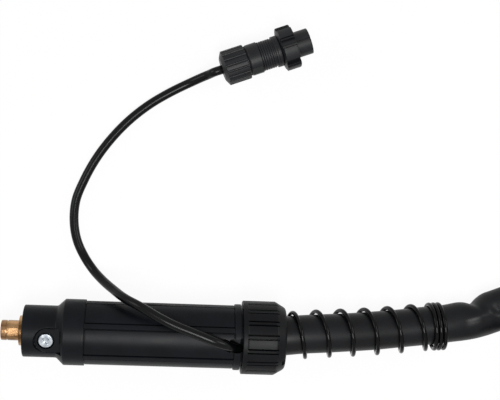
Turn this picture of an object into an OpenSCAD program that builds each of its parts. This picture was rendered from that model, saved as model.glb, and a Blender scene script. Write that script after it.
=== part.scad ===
// MIG welding torch, laid out on a bench: machine plug, control lead with its connector,
// coiled hose and the welding handle with its swan neck.
// Millimetres. +X runs from the current pin's shoulder along the plug, +Z is up.

/* [Current pin] */
// Diameter of the brass current pin
pin_d = 13; // [10:0.5:16]
// Length of the pin in front of its flange
pin_len = 11.2; // [8:0.2:20]
// Chamfer at the pin's tip
pin_chamfer = 0.5; // [0.2:0.1:1]
// Diameter of the pin's flange
pin_flange_d = 19.3; // [18.5:0.1:22]
// Thickness of the pin's flange
pin_flange_t = 2.6; // [1.5:0.1:4]
// Length of the locating pad beside the flange
pad_len = 6.8; // [4:0.2:8]
// Width of the locating pad
pad_w = 6.8; // [3:0.2:8]
// How far the locating pad stands proud of the pin
pad_h = 0.7; // [0.3:0.1:1.2]
// Turn of the locating pad away from the top
pad_turn = 11; // [0:1:40]

/* [Plug housing] */
// Diameter of the nose
nose_d = 33.4; // [32:0.2:38]
// Length of the nose in front of its cone
nose_len = 21.9; // [20:0.1:26]
// Length of the cone behind the nose
cone_len = 4.8; // [3:0.1:7]
// Diameter of the front ring
ring_d = 42.6; // [41.8:0.2:44]
// Length of the front ring
ring_len = 13.1; // [8:0.1:18]
// Diameter over the recessed panels
panel_d = 41.0; // [39.6:0.2:41.4]
// Length of the panelled grip
panel_len = 95.9; // [85:0.1:110]
// Height of the ribs over the panels
rib_h = 0.35; // [0.2:0.05:0.6]
// Width of each rib
rib_w = 3.2; // [2:0.1:5]
// Number of ribs
rib_count = 6; // [4:1:8]
// Turn of the first rib away from the top
rib_turn = -17; // [-30:1:30]
// Diameter of the rear collar
rear_d = 42.8; // [42:0.1:45]
// Length of the rear collar
rear_len = 4.9; // [3:0.1:8]
// Wall of the threaded spigot under the collar nut
spigot_wall = 1.9; // [1.7:0.1:2.3]
// Length of the threaded spigot
spigot_len = 14.8; // [12:0.1:18]
// Inside diameter of the housing
housing_bore_d = 33.4; // [32:0.1:34.4]
// Length of the solid nose around the brass body
nose_wall = 34; // [26:0.5:40]

/* [Nose screw] */
// Diameter of the screw's head
screw_head_d = 9.5; // [8:0.1:10.4]
// Height of the screw's head
screw_head_h = 2.4; // [1.5:0.1:3]
// Diameter of the screw's thread
screw_d = 5; // [4:0.5:6]
// Distance from the flange's front to the screw
screw_x = 18.4; // [15:0.1:20]
// Turn of the screw away from the top
screw_turn = 20; // [0:1:45]
// Width of the flat pocket round the screw
pocket_w = 17.2; // [15:0.1:17.4]
// Depth of the pocket under the nose's surface
pocket_depth = 2.8; // [2.4:0.1:3]

/* [Lead notch] */
// Width of the notch for the control lead
notch_w = 10; // [8:0.1:12]
// Length of the notch in front of the spigot
notch_len = 8.4; // [6:0.1:12]
// Turn of the notch away from the top
notch_turn = 11; // [6:1:22]

/* [Collar nut] */
// Thickness of the collar nut's side over the spigot
nut_side = 5.2; // [4.6:0.1:6]
// Length of the collar nut
nut_len = 28; // [27:0.1:32]
// Length of the nut's rear chamfer
nut_chamfer_len = 6.8; // [5:0.1:9]
// Diameter of the nut's rear face
nut_face_d = 40; // [38.5:0.1:43]
// Diameter of the hole in the nut's rear wall
nut_hole_d = 34.8; // [34.4:0.1:36]
// Thickness of the nut's rear wall
nut_wall = 6.2; // [4:0.1:7]
// Number of grip ribs round the nut
nut_rib_count = 16; // [12:1:20]
// Turn of the first grip rib away from the top
nut_rib_turn = -6.5; // [-11:0.5:11]
// Width of each grip rib
nut_rib_w = 2.1; // [1.4:0.1:3]
// Width of the groove on each side of a rib
nut_groove_w = 1.0; // [0.6:0.1:1.4]
// Depth of the grooves
nut_groove_depth = 1.4; // [0.5:0.1:1.6]
// Length of the plain rim in front of the grooves
nut_rim_len = 4; // [3:0.1:7]
// Length of the grooves
nut_groove_len = 18.8; // [12:0.1:20]

/* [Hose and spring] */
// Diameter of the sleeved hose
hose_d = 24.4; // [23:0.1:24.6]
// Diameter of the spring's wire
spring_wire_d = 2.5; // [2:0.1:2.6]
// Mean diameter of the spring
spring_mean_d = 28.4; // [28.2:0.1:28.6]
// Rise of an open turn of the spring
spring_pitch = 16.1; // [14:0.02:17]
// Rise of a closed turn of the spring
spring_closed_pitch = 3; // [3:0.05:3.6]
// Radius of the coil's outer loop
coil_r = 147.5; // [140:0.5:150]
// Distance between neighbouring loops in a layer
coil_pitch = 25.9; // [25.4:0.1:28]
// Height of the upper layer over the lower one
coil_layer = 25.7; // [25.4:0.1:28]
// Full turns of the coil
coil_turns = 2; // [2:1:3]

/* [Control lead and connector] */
// Diameter of the control lead
lead_d = 6; // [5:0.1:6.2]
// Diameter of the clamp nut behind the connector
clamp_nut_d = 23.2; // [22:0.1:25]
// Length of the clamp nut
clamp_nut_len = 17; // [16:0.1:18]
// Number of flutes round the clamp nut
clamp_flute_count = 18; // [12:1:24]
// Diameter of the connector's barrel
barrel_d = 20.8; // [20:0.1:21.2]
// Diameter of the barrel's front shoulder
barrel_front_d = 20.8; // [19.5:0.1:22]
// Diameter of the coupling ring
coupling_d = 29.2; // [27:0.1:31]
// Length of the coupling ring
coupling_len = 10.6; // [9:0.1:13]
// Number of lobes round the coupling ring
lobe_count = 6; // [5:1:8]
// Turn of the first lobe away from the top
lobe_turn = 20; // [-30:1:30]
// Depth of the gaps between the lobes
lobe_depth = 3.1; // [2:0.1:3.6]
// Diameter of the connector's front shell
shell_d = 17.3; // [17:0.1:17.5]
// How far the front shell stands out of the coupling ring
shell_out = 10.2; // [7:0.1:14]
// Number of contacts
contact_count = 4; // [3:1:6]

/* [Handle] */
// Length of the handle's shells
grip_len = 132; // [126:1:140]
// Mean radius of the handle
grip_mid_r = 16.9; // [16.6:0.1:17.6]
// Swell of the handle over and under its mean radius
grip_wave = 1.4; // [0.8:0.1:1.6]
// Thickness of the handle over its flat sides
grip_thick = 30; // [29.4:0.2:32]
// Inside diameter of the handle
grip_bore_d = 25.2; // [25:0.1:25.6]
// Width of the trigger
trigger_w = 10; // [9.4:0.1:11]
// Thickness of the trigger's finger pad
trigger_t = 2.9; // [2:0.1:3.2]
// Diameter of the trigger's hinge pin
trigger_pin_d = 3; // [2:0.1:3.4]
// Angle that the trigger is pressed through
trigger_angle = 4; // [2:0.5:4]

/* [Swan neck] */
// Radius of the neck's bend
neck_bend_r = 60; // [50:1:80]
// Angle of the neck's bend
neck_bend = 45; // [30:1:50]
// Outside diameter of the neck's insulation
neck_d = 19; // [18:0.1:19]
// Diameter of the copper neck tube
neck_core_d = 12.4; // [10:0.1:12.4]
// Diameter of the gas nozzle
nozzle_d = 23; // [22.6:0.1:25]
// Diameter of the gas nozzle's mouth
mouth_d = 16; // [14:0.1:17]
// Length of the gas nozzle
nozzle_len = 70; // [64:0.5:80]
// Diameter of the contact tip
tip_d = 8; // [6:0.1:8.4]
// How far the contact tip stays behind the nozzle's mouth
tip_recess = 6.5; // [2:0.1:8]
// Diameter of the welding wire's hole
wire_d = 1.2; // [0.8:0.1:1.6]

/* [Hidden] */
$fn = 96;

seat = 0.1;       // clearance between pieces that are fitted together
run_fit = 0.08;   // radial clearance of pieces that turn or slide on each other
loose = 0.3;      // clearance of pieces that pass each other

// stations along the plug's axis
nose_x = pin_flange_t;
spigot_d = housing_bore_d + 2 * spigot_wall;
nut_d = spigot_d + 2 * nut_side;
cone_x = nose_x + nose_len;
ring_x = cone_x + cone_len;
panel_x = ring_x + ring_len;
rear_x = panel_x + panel_len;
spigot_x = rear_x + rear_len;
spigot_end = spigot_x + spigot_len;
nut_x = spigot_x + 0.4;
nut_end = nut_x + nut_len;
nut_wall_x = nut_end - nut_wall;
nut_mark = [2.2, 4.4, 1];
nut_mark_turn = 43;
floor_z = -nut_d / 2;

// brass body, cable and liner inside the plug
pin_groove_w = 0.8;
pin_groove_depth = 0.4;
stud_d = 10;
stud_len = 9.5;
liner_d = 4.8;
liner_bore_d = 2.2;
body_front_d = 17.6;
body_d = 21.6;
body_end = nose_x + nose_wall - 6;
shank_d = 15;
shank_end = body_end + 12;
ferrule_d = 19.5;
cable_d = 16;
ferrule_end = shank_end + 16;
carrier_flange_d = spigot_d - 0.4;
carrier_pilot_d = housing_bore_d - 2 * run_fit - 1.2;
carrier_pilot_len = 8;
carrier_seat_depth = 3.1;
hose_shift = 1.2;     // the loose hose lies this far off the axis in its carrier
spring_r = 1.03 * spring_mean_d / 2;   // corners stand out, so that the flats between them clear the hose
spring_out_r = spring_r + spring_wire_d / 2;
hose_start = spigot_end + 0.2;

// control lead's straight stretch down into the notch
lead_end = [spigot_x - 0.2, -7, 11.5];
lead_dive = [spigot_x - 8.3, -4.1, 19];
anchor_len = 8;

// connector's place, a little behind its clamp nut
conn_pos = [121.9, 174, floor_z + coupling_d / 2];
conn_turn = 20.9;
clamp_back = 3;
clamp_end = clamp_back + clamp_nut_len;
seal_x = 4.5;
seal_len = 7;
barrel_x = seal_x + seal_len;
barrel_neck_r = barrel_d / 2 - 1.2;
coupling_x = 43.2;
shell_end = coupling_x + coupling_len + shell_out;
shell_flange_x = coupling_x - 2.5;
shell_wall = 1.6;
bearing_d = shell_d + 0.6;
key_w = 1.2;
key_depth = 0.6;
key_turn = -6;
insert_len = 12;

// hose route on the bench, from the plug to the coil
hose_r = hose_d / 2;
rest_z = floor_z + hose_r;
coil_centre = [490, -69];
coil_start_turn = 110.9;
coil_sweep = 200.9 + 360 * coil_turns;
tangent_len = 25;
plug_route = [
    [158.2, hose_shift, 0], [166, hose_shift, 0], [174, 1.7, -0.2], [184, 2.6, -0.9],
    [198, 3.8, -2.3], [214, 4.9, -4.1], [231, 6.3, -5.9], [247, 8, -7.3], [263, 10, -8.1],
    [280, 12.3, -8.3], [292, 14.6, -9.2], [304, 18, -10.4], [316, 22.2, -11.2],
    [330, 27.5, -11.4], [355, 37.1, -11.4], [385, 48.6, -11.4]];
handle_route = [
    [450, -216.5, 13.2], [435, -216.5, 10.2], [420, -216.5, 5.9], [410, -216.5, 2.7],
    [400, -216.5, -0.5], [385, -216.5, -4.8], [370, -216.5, -7.8], [355, -216.5, -8.8],
    [335, -216.5, -8.8]];
lead_route = [
    [131.5, -2.9, 21.9], [128, -1.7, 23.6], [124, -0.2, 24.5], [118, 2.1, 24.8],
    [110, 5, 24.7], [101.5, 8, 24.5], [90, 13.1, 24], [77.5, 19.7, 21.6], [68, 23.7, 14.5],
    [59.5, 28.3, 2], [51, 34, -10], [45, 39.4, -17], [38.5, 48, -20.4], [33.5, 58, -20.8],
    [30.7, 72.5, -20.8], [31.5, 85, -20.8], [36.3, 98.5, -20.8], [43.6, 113, -20.8],
    [53.5, 127.3, -20.8], [66.3, 141.3, -20.8], [78, 151, -20.8], [91, 159.4, -20.7],
    [105.3, 167, -19.3], [112, 170.1, -16], [117, 172.1, -12.2]];

// handle's place, rear face of its shells; forward is -X and the trigger faces +Y
handle_pos = [318, -216.5, floor_z + grip_thick / 2];
grip_peak = 30;
grip_period = 125;
hose_in = 10;
joint_x = grip_len - 92;
joint_len = 30;
pivot = [grip_len - 18, -12.5];
pivot_boss_r = 3.2;
trigger_pin_len = 16;
switch_x = grip_len - 48;
switch_len = 20;
switch_h = 7;
switch_top = -14;
switch_w = 6.4;
post_y = [-9.8, switch_top + switch_h - seat];
button_x = switch_x + 4;
button_d = 2.4;
button_travel = (pivot[0] - button_x) * tan(trigger_angle);
button_out = button_travel + 0.2;
pad_y = -17.6;
finger_r = 29.6;
skirt_t = 1.4;
slot_x = [pivot[0] - 46, pivot[0] + 4.5];
neck_x = grip_len - 10;
neck_bore_d = 6;
bend_x = grip_len + 38;
nozzle_q = 12;
neck_end_q = 24;
neck_out_q = 16;
holder_end = 50;
tip_end = nozzle_q + nozzle_len - tip_recess;
handle_screw_d = 3.2;
handle_screw_head = [5.6, 1.8];
handle_screw_reach = 8;
handle_screw_seat = 2.6;
handle_screw_inset = 3.3;
function handle_screw_spots() = [for (x = [24, grip_len - 6], side = [1, -1])
    [x, side * (grip_r(x) - handle_screw_inset)]];
nozzle_taper = 32;
nozzle_straight = 14;

black = [0.09, 0.09, 0.1];
brass = [0.85, 0.65, 0.35];
copper = [0.78, 0.45, 0.3];
steel = [0.75, 0.76, 0.78];

// ---- swept tubes -------------------------------------------------------------------------

function unit(v) = v / norm(v);
function heading(path, i) = unit(path[min(i + 1, len(path) - 1)] - path[max(i - 1, 0)]);
function ring_points(p, t, up, r, sides) =
    let (s = unit(cross(t, up)), u = cross(s, t))
    [for (k = [0:sides - 1]) let (a = 90 + 360 * k / sides) p + r * (cos(a) * s + sin(a) * u)];

// One closed tube of round section along a path; ups gives each ring's upward direction.
module tube(path, ups, r, sides) {
    last = len(path) - 1;
    rings = [for (i = [0:last]) ring_points(path[i], heading(path, i), ups[i], r, sides)];
    points = [for (ring = rings) each ring];
    walls = [for (i = [0:last - 1], k = [0:sides - 1])
        let (a = i * sides + k, b = i * sides + (k + 1) % sides)
        each [[a, b + sides, b], [a, a + sides, b + sides]]];
    start_cap = [for (k = [1:sides - 2]) [0, k, k + 1]];
    end_cap = [for (k = [1:sides - 2]) [last * sides, last * sides + k + 1, last * sides + k]];
    polyhedron(points = points, faces = concat(walls, start_cap, end_cap), convexity = 10);
}

// The same with a bore right through, for a path that stays level.
module pipe(path, outer_d, inner_d, sides) {
    last = len(path) - 1;
    count = (last + 1) * sides;
    points = [for (d = [outer_d, inner_d], i = [0:last])
        each ring_points(path[i], heading(path, i), [0, 0, 1], d / 2, sides)];
    walls = [for (i = [0:last - 1], k = [0:sides - 1])
        let (a = i * sides + k, b = i * sides + (k + 1) % sides)
        each [[a, b + sides, b], [a, a + sides, b + sides],
            [a + count, b + count, b + sides + count], [a + count, b + sides + count, a + sides + count]]];
    caps = [for (k = [0:sides - 1])
        let (a = k, b = (k + 1) % sides, c = last * sides + a, d = last * sides + b)
        each [[a, b, b + count], [a, b + count, a + count],
            [c, d + count, d], [c, c + count, d + count]]];
    polyhedron(points = points, faces = concat(walls, caps), convexity = 10);
}

module cord(path, d, sides) {
    tube(path, [for (p = path) [0, 0, 1]], d / 2, sides);
}

// ---- hose: coil and free runs ------------------------------------------------------------

// radius and height of the coil after a given sweep: in on the lower layer, out on the upper
half_sweep = (coil_sweep - 180) / 2;
function reversal(a) = max(0, min(1, (a - half_sweep) / 180));
function coil_radius(a) =
    let (turned = min(a, half_sweep) / 360, back = max(0, a - half_sweep - 180) / 360, h = reversal(a))
    coil_r - coil_pitch * (turned + h * (1 - h) / 2 - back);
function coil_height(a) = rest_z + coil_layer * (1 - cos(180 * reversal(a))) / 2;
function coil_point(a) =
    let (turn = coil_start_turn - a, r = coil_radius(a))
    [coil_centre[0] + r * cos(turn), coil_centre[1] + r * sin(turn), coil_height(a)];
start_dir = [cos(coil_start_turn - 90), sin(coil_start_turn - 90), 0];
coil_in = coil_point(0) - tangent_len * start_dir;
coil_out = coil_point(coil_sweep) - [tangent_len, 0, 0];
coil_steps = round(coil_sweep / 15);
coil_path = concat([coil_in],
    [for (i = [0:coil_steps]) coil_point(coil_sweep * i / coil_steps)],
    [coil_out]);
hose_end = handle_pos - [hose_in, 0, 0];
plug_path = concat(plug_route, [coil_in]);
handle_path = concat([coil_out, coil_out - [1, 0, 0]], handle_route, [hose_end]);

function path_length(path) = len(path) < 2 ? 0 : sum_steps(path, 0);
function sum_steps(path, i) = i >= len(path) - 1 ? 0 : norm(path[i + 1] - path[i]) + sum_steps(path, i + 1);
function self_gap(path, d, skip) = min([for (i = [0:len(path) - 1], j = [i + skip:1:len(path) - 1])
    norm(path[i] - path[j])]) - d;
echo(hose_length = path_length(concat(plug_path, coil_path, handle_path)));
echo(hose_coil_gap = self_gap(coil_path, hose_d, 8));

module hose_plug_run() {
    color(black) cord(plug_path, hose_d, 12);
}

module hose_coil() {
    color(black) cord(coil_path, hose_d, 6);
}

module hose_handle_run() {
    color(black) cord(handle_path, hose_d, 12);
}

// ---- bend-protection spring --------------------------------------------------------------

hose_y = [for (p = plug_path) [p[0], p[1]]];
hose_z = [for (p = plug_path) [p[0], p[2]]];
function hose_at(x) = [x, lookup(x, hose_y), lookup(x, hose_z)];
spring_start = spigot_end + carrier_seat_depth + spring_wire_d / 2 + loose;
front_turns = 1;
open_turns = 6.4;
rear_turns = 2.1;
spring_turns = front_turns + open_turns + rear_turns;
function spring_x(t) = spring_start
    + spring_closed_pitch * (min(t, front_turns) + max(0, t - front_turns - open_turns))
    + spring_pitch * max(0, min(open_turns, t - front_turns));
function spring_out(t) =
    let (x = spring_x(t), dir = unit(hose_at(x + 8) - hose_at(x - 8)),
        side = unit(cross([0, 0, 1], dir)), up = cross(dir, side), a = 90 + 360 * t)
    cos(a) * side + sin(a) * up;
spring_steps = round(8 * spring_turns);
spring_ups = [for (i = [0:spring_steps]) spring_out(i / 8)];
spring_path = [for (i = [0:spring_steps]) hose_at(spring_x(i / 8)) + spring_r * spring_ups[i]];
echo(spring_gap = self_gap(spring_path, spring_wire_d, 5));

module bend_spring() {
    color(black) tube(spring_path, spring_ups, spring_wire_d / 2, 6);
}

// ---- plug: placing -----------------------------------------------------------------------

// Turned parts are drawn as [along, radius] outlines round the plug's axis.
module lathe(outline) {
    rotate([0, 90, 0]) rotate_extrude() polygon([for (p = outline) [p[1], p[0]]]);
}

module rod(x, d, len) {
    translate([x, 0, 0]) rotate([0, 90, 0]) cylinder(d = d, h = len);
}

// Turns a piece drawn over the top of the plug's axis away towards -Y.
module turned(angle) {
    rotate([angle, 0, 0]) children();
}

module current_pin() {
    pin_r = pin_d / 2;
    color(brass) difference() {
        union() {
            lathe([[-pin_len, 0], [-pin_len, pin_r - pin_chamfer], [pin_chamfer - pin_len, pin_r],
                [-pad_len - pin_groove_w, pin_r], [-pad_len - pin_groove_w, pin_r - pin_groove_depth],
                [-pad_len, pin_r - pin_groove_depth], [-pad_len, pin_r], [0, pin_r],
                [0, pin_flange_d / 2], [pin_flange_t, pin_flange_d / 2],
                [pin_flange_t, stud_d / 2], [pin_flange_t + stud_len, stud_d / 2],
                [pin_flange_t + stud_len, 0]]);
            turned(pad_turn) intersection() {
                translate([-pad_len, -pad_w / 2, 0]) cube([pad_len + seat, pad_w, pin_d]);
                rod(-pad_len, pin_d + 2 * pad_h, pad_len + seat);
            }
        }
        rod(-pin_len - 1, liner_d + 2 * seat, pin_len + pin_flange_t + stud_len + 2);
    }
}

module connection_body() {
    color(brass) difference() {
        union() {
            rod(nose_x, body_front_d, 4);
            rod(nose_x + 4, body_d, body_end - nose_x - 4);
            rod(body_end, shank_d, shank_end - body_end);
        }
        rod(nose_x - 1, stud_d + 2 * seat, stud_len + 1.5);
        rod(nose_x, liner_d + 2 * seat, shank_end);
        turned(screw_turn) translate([screw_x, 0, stud_d / 2 + 2])
            cylinder(d = screw_d + 2 * seat, h = body_d);
    }
}

pocket_x = screw_x + 0.7;   // the pocket's round end isn't quite centred on the screw
pocket_y = 0.6;
pocket_z = nose_d / 2 - pocket_depth;
screw_seat_z = pocket_z - screw_head_h + 0.4;
screw_foot_z = stud_d / 2 + 2.5;

module nose_screw() {
    recess = [screw_head_d * 0.5, 1.2, 1.6];
    head_side = screw_head_h - 0.6;
    color(steel) turned(screw_turn) translate([screw_x, 0, 0]) difference() {
        union() {
            translate([0, 0, screw_seat_z]) cylinder(d = screw_head_d, h = head_side);
            translate([0, 0, screw_seat_z + head_side])
                cylinder(d1 = screw_head_d, d2 = screw_head_d - 2.4, h = screw_head_h - head_side);
            translate([0, 0, screw_foot_z]) cylinder(d = screw_d, h = screw_seat_z - screw_foot_z);
        }
        for (a = [45, 135])
            rotate([0, 0, a])
                translate([-recess[0] / 2, -recess[1] / 2, screw_seat_z + screw_head_h - recess[2]])
                    cube(recess);
    }
}

module rib_bars() {
    for (i = [0:rib_count - 1])
        turned(rib_turn + 360 / rib_count * i) translate([panel_x - seat, -rib_w / 2, 0])
            cube([panel_len + 2 * seat, rib_w, ring_d]);
}

module notch_cut() {
    turned(notch_turn) translate([spigot_x - notch_len, -notch_w / 2, cable_d / 2 + 2])
        cube([notch_len + 6, notch_w, rear_d]);
    dive = unit(lead_end - lead_dive);
    translate(lead_dive - 9 * dive) orient(dive) cylinder(d = lead_d + 1.4, h = 26);
}

// Points local +Z along a direction.
module orient(dir) {
    rotate([0, acos(dir[2]), atan2(dir[1], dir[0])]) children();
}

module housing() {
    nose_r = nose_d / 2;
    round_r = 1;
    front_edge = [for (a = [0:15:90])
        [nose_x + round_r * (1 - cos(a)), nose_r - round_r * (1 - sin(a))]];
    color(black) difference() {
        union() {
            lathe(concat([[nose_x, 0]], front_edge, [[cone_x, nose_r],
                [ring_x - 0.6, ring_d / 2 - 0.6], [ring_x + 0.4, ring_d / 2],
                    [panel_x - 0.5, ring_d / 2], [panel_x, ring_d / 2 - 0.5], [panel_x, 0]]));
            rod(panel_x - seat, panel_d, panel_len + 2 * seat);
            intersection() {
                rib_bars();
                rod(panel_x - seat, panel_d + 2 * rib_h, panel_len + 2 * seat);
            }
            lathe([[rear_x, 0], [rear_x, panel_d / 2 + rib_h], [rear_x + 0.5, rear_d / 2],
                [spigot_x, rear_d / 2], [spigot_x, spigot_d / 2], [spigot_end - 1, spigot_d / 2],
                [spigot_end, spigot_d / 2 - 1], [spigot_end, 0]]);
        }
        rod(nose_x - 1, body_front_d + 2 * seat, 6);
        rod(nose_x + 4, body_d + 2 * seat, nose_wall);
        rod(nose_x + nose_wall, housing_bore_d, spigot_end);
        turned(screw_turn) {
            translate([screw_x, 0, 0]) cylinder(d = screw_d + 4 * seat, h = nose_d);
            translate([screw_x, 0, screw_seat_z]) cylinder(d = screw_head_d + 1.6, h = nose_d);
            translate([pocket_x, pocket_y, pocket_z]) cylinder(d = pocket_w, h = nose_d);
            translate([pocket_x, pocket_y - pocket_w / 2, pocket_z])
                cube([ring_x - 1 - pocket_x, pocket_w, nose_d]);
        }
        notch_cut();
    }
}

module nut_grooves() {
    side = (nut_rib_w + nut_groove_w) / 2;
    for (i = [0:nut_rib_count - 1], s = [-1, 1])
        turned(nut_rib_turn + 360 / nut_rib_count * i)
            translate([nut_x + nut_rim_len, s * side - nut_groove_w / 2, nut_d / 2 - nut_groove_depth])
                cube([nut_groove_len, nut_groove_w, nut_d]);
}

module collar_nut() {
    color(black) difference() {
        lathe([[nut_x, spigot_d / 2 + run_fit], [nut_x, nut_d / 2 - 0.6], [nut_x + 0.6, nut_d / 2],
            [nut_end - nut_chamfer_len, nut_d / 2], [nut_end - 1, nut_face_d / 2 + 0.4],
            [nut_end, nut_face_d / 2 - 0.6], [nut_end, nut_hole_d / 2],
            [nut_wall_x, nut_hole_d / 2], [nut_wall_x, spigot_d / 2 + run_fit]]);
        nut_grooves();
        turned(nut_mark_turn) translate([nut_end - nut_mark[0] / 2, 0, nut_face_d / 2])
            cube(nut_mark, center = true);
    }
}

// Moulded carrier behind the spigot: holds the spring's front turns and lets the hose through.
module spring_carrier() {
    hose_way = hose_r + hose_shift + seat;
    spring_way = spring_out_r + hose_shift + loose;
    color([0.16, 0.16, 0.17])
        lathe([[spigot_end - carrier_pilot_len, hose_way],
            [spigot_end - carrier_pilot_len, carrier_pilot_d / 2],
            [spigot_end, carrier_pilot_d / 2], [spigot_end, carrier_flange_d / 2],
            [nut_wall_x - seat, carrier_flange_d / 2], [nut_wall_x - seat, spring_way],
            [spigot_end + carrier_seat_depth, spring_way], [spigot_end + carrier_seat_depth, hose_way]]);
}

module power_cable_end() {
    color([0.15, 0.12, 0.1]) difference() {
        rod(shank_end, cable_d, hose_start - shank_end);
        rod(shank_end - 1, liner_d + 2 * seat, hose_start - shank_end - 2);
    }
}

module crimp_ferrule() {
    color(copper) difference() {
        rod(shank_end - 8, ferrule_d, ferrule_end - shank_end + 8);
        rod(shank_end - 9, shank_d + 2 * seat, 9 - seat);
        rod(shank_end - 2 * seat, cable_d + 2 * seat, ferrule_end);
    }
}

module wire_liner() {
    color(steel) difference() {
        rod(-pin_len, liner_d, hose_start - 6 + pin_len);
        rod(-pin_len - 1, liner_bore_d, hose_start + pin_len);
    }
}

// Rubber block that ties the control lead to the power cable inside the housing.
module lead_anchor() {
    dive = unit(lead_end - lead_dive);
    color([0.12, 0.12, 0.12]) difference() {
        intersection() {
            translate(lead_end) orient(dive) cylinder(d = lead_d + 2.4, h = anchor_len);
            rod(rear_x - 10, housing_bore_d - 2 * seat, spigot_end - rear_x);
        }
        rod(rear_x - 10, cable_d + 2 * seat, spigot_end);
    }
}

// ---- control lead and connector ----------------------------------------------------------

conn_dir = [cos(conn_turn), sin(conn_turn), 0];
lead_path = concat([lead_end, lead_dive], lead_route, [for (s = [-3, seal_x]) conn_pos + s * conn_dir]);
echo(lead_length = path_length(lead_path));

module control_lead() {
    color(black) cord(lead_path, lead_d, 8);
}

module at_connector() {
    translate(conn_pos) rotate([0, 0, conn_turn]) children();
}

module clamp_nut() {
    flute_r = 0.75;
    color(black) at_connector() difference() {
        lathe([[clamp_back, lead_d / 2 + loose], [clamp_back, clamp_nut_d / 2 - 4],
            [clamp_back + 0.6, clamp_nut_d / 2 - 2.8], [clamp_back + 2.1, clamp_nut_d / 2],
            [clamp_end - 0.4, clamp_nut_d / 2], [clamp_end, clamp_nut_d / 2 - 0.4],
            [clamp_end, barrel_neck_r + run_fit], [seal_x, barrel_neck_r + run_fit],
            [seal_x, lead_d / 2 + loose]]);
        for (i = [0:clamp_flute_count - 1])
            turned(360 / clamp_flute_count * i)
                translate([clamp_back, 0, clamp_nut_d / 2 + 0.2]) rotate([0, 90, 0])
                    cylinder(r = flute_r, h = clamp_nut_len + 1, $fn = 16);
    }
}

module gland_seal() {
    color([0.2, 0.2, 0.2]) at_connector() rod(seal_x + seat, 2 * (barrel_neck_r - loose), seal_len - seat);
}

module connector_barrel() {
    front = shell_flange_x;
    barrel_r = barrel_d / 2;
    ring_r = barrel_r - 0.6;
    ring_step = 1.5;
    ring_from = clamp_end + 9.6;
    flat_turn = 57;
    color(black) at_connector() difference() {
        lathe(concat([[barrel_x, 0], [barrel_x, barrel_neck_r], [clamp_end + 0.6, barrel_neck_r],
            [clamp_end + 0.6, barrel_r - 0.6], [clamp_end + 1.8, barrel_r],
            [ring_from - 0.6, barrel_r], [ring_from - 0.2, ring_r - 0.4]],
            [for (i = [0:5]) each [[ring_from + ring_step * i, ring_r],
                [ring_from + ring_step * i + 0.9, ring_r], [ring_from + ring_step * i + 1.1, ring_r - 0.4]]],
            [[front - 1.6, ring_r - 0.4], [front - 1.4, barrel_front_d / 2],
                [front, barrel_front_d / 2], [front, 0]]));
        rod(barrel_x + 2, 2 * barrel_neck_r - 2.4, front);
        for (side = [0, 180])
            turned(flat_turn + side) translate([clamp_end + 1.4, -4, barrel_r - 0.45])
                cube([ring_from - clamp_end - 2.4, 8, barrel_r]);
    }
}

module coupling_ring() {
    gap_w = 3;
    gap_step = [7.6, 0.9];
    color(black) at_connector() difference() {
        lathe([[coupling_x, bearing_d / 2 + run_fit], [coupling_x, coupling_d / 2 - 4],
            [coupling_x + 1.1, coupling_d / 2], [coupling_x + coupling_len - 0.5, coupling_d / 2],
            [coupling_x + coupling_len, coupling_d / 2 - 0.5],
            [coupling_x + coupling_len, bearing_d / 2 + run_fit]]);
        for (i = [0:lobe_count - 1])
            turned(lobe_turn + 360 / lobe_count * (i + 0.5)) {
                translate([coupling_x + 1, -gap_w / 2, coupling_d / 2 - lobe_depth])
                    cube([coupling_len, gap_w, coupling_d]);
                translate([coupling_x + 0.8, -gap_step[0] / 2, coupling_d / 2 - gap_step[1]])
                    cube([coupling_len, gap_step[0], coupling_d]);
            }
    }
}

module front_shell() {
    shell_r = shell_d / 2;
    nose_from = coupling_x + coupling_len + 0.2;
    color(black) at_connector() {
        difference() {
            lathe([[shell_flange_x, 0], [shell_flange_x, barrel_front_d / 2],
                [coupling_x - loose, barrel_front_d / 2], [coupling_x - loose, bearing_d / 2],
                [nose_from, bearing_d / 2], [nose_from, shell_r],
                [shell_end - 0.4, shell_r], [shell_end, shell_r - 0.4], [shell_end, 0]]);
            turned(key_turn) translate([nose_from + 0.4, -key_w / 2, shell_r - key_depth])
                cube([shell_out, key_w, shell_r]);
            rod(shell_end - insert_len, shell_d - 2 * shell_wall, insert_len + 1);
            rod(shell_flange_x - 1, shell_d - 6, shell_end);
        }
    }
}

function contact_spots() = [for (i = [0:contact_count - 1])
    let (a = 45 + 360 / contact_count * i) 4 * [cos(a), sin(a)]];

module contact_insert() {
    color([0.13, 0.13, 0.13]) at_connector() difference() {
        rod(shell_end - insert_len, shell_d - 2 * shell_wall - 2 * seat, insert_len - 0.4);
        for (p = contact_spots())
            translate([0, p[0], p[1]]) rod(shell_end - insert_len - 1, 2.2 + 2 * seat, insert_len + 2);
    }
}

module contacts() {
    color(brass) at_connector() for (p = contact_spots())
        translate([0, p[0], p[1]]) difference() {
            rod(shell_end - insert_len - 6, 2.2, insert_len + 5);
            rod(shell_end - 7, 1.4, 8);
        }
}

// ---- handle ------------------------------------------------------------------------------

// Handle frame: +X forward to the neck, -Y the trigger side.
module at_handle() {
    translate(handle_pos) rotate([0, 0, 180]) children();
}

function grip_r(x) = grip_mid_r + grip_wave * cos(360 * (x - grip_peak) / grip_period);

module grip_outside() {
    step = 6;
    count = floor((grip_len - 6) / step);
    intersection() {
        lathe(concat([[0, 0], [0, grip_r(0) - 2.5], [1, grip_r(0) - 1]],
            [for (i = [0:count]) let (x = 3 + i * step) [x, grip_r(x)]],
            [[grip_len - 2, grip_r(grip_len) - 0.8], [grip_len, grip_r(grip_len) - 3.5], [grip_len, 0]]));
        translate([-1, -grip_mid_r * 2, -grip_thick / 2]) cube([grip_len + 2, grip_mid_r * 4, grip_thick]);
    }
}

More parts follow.
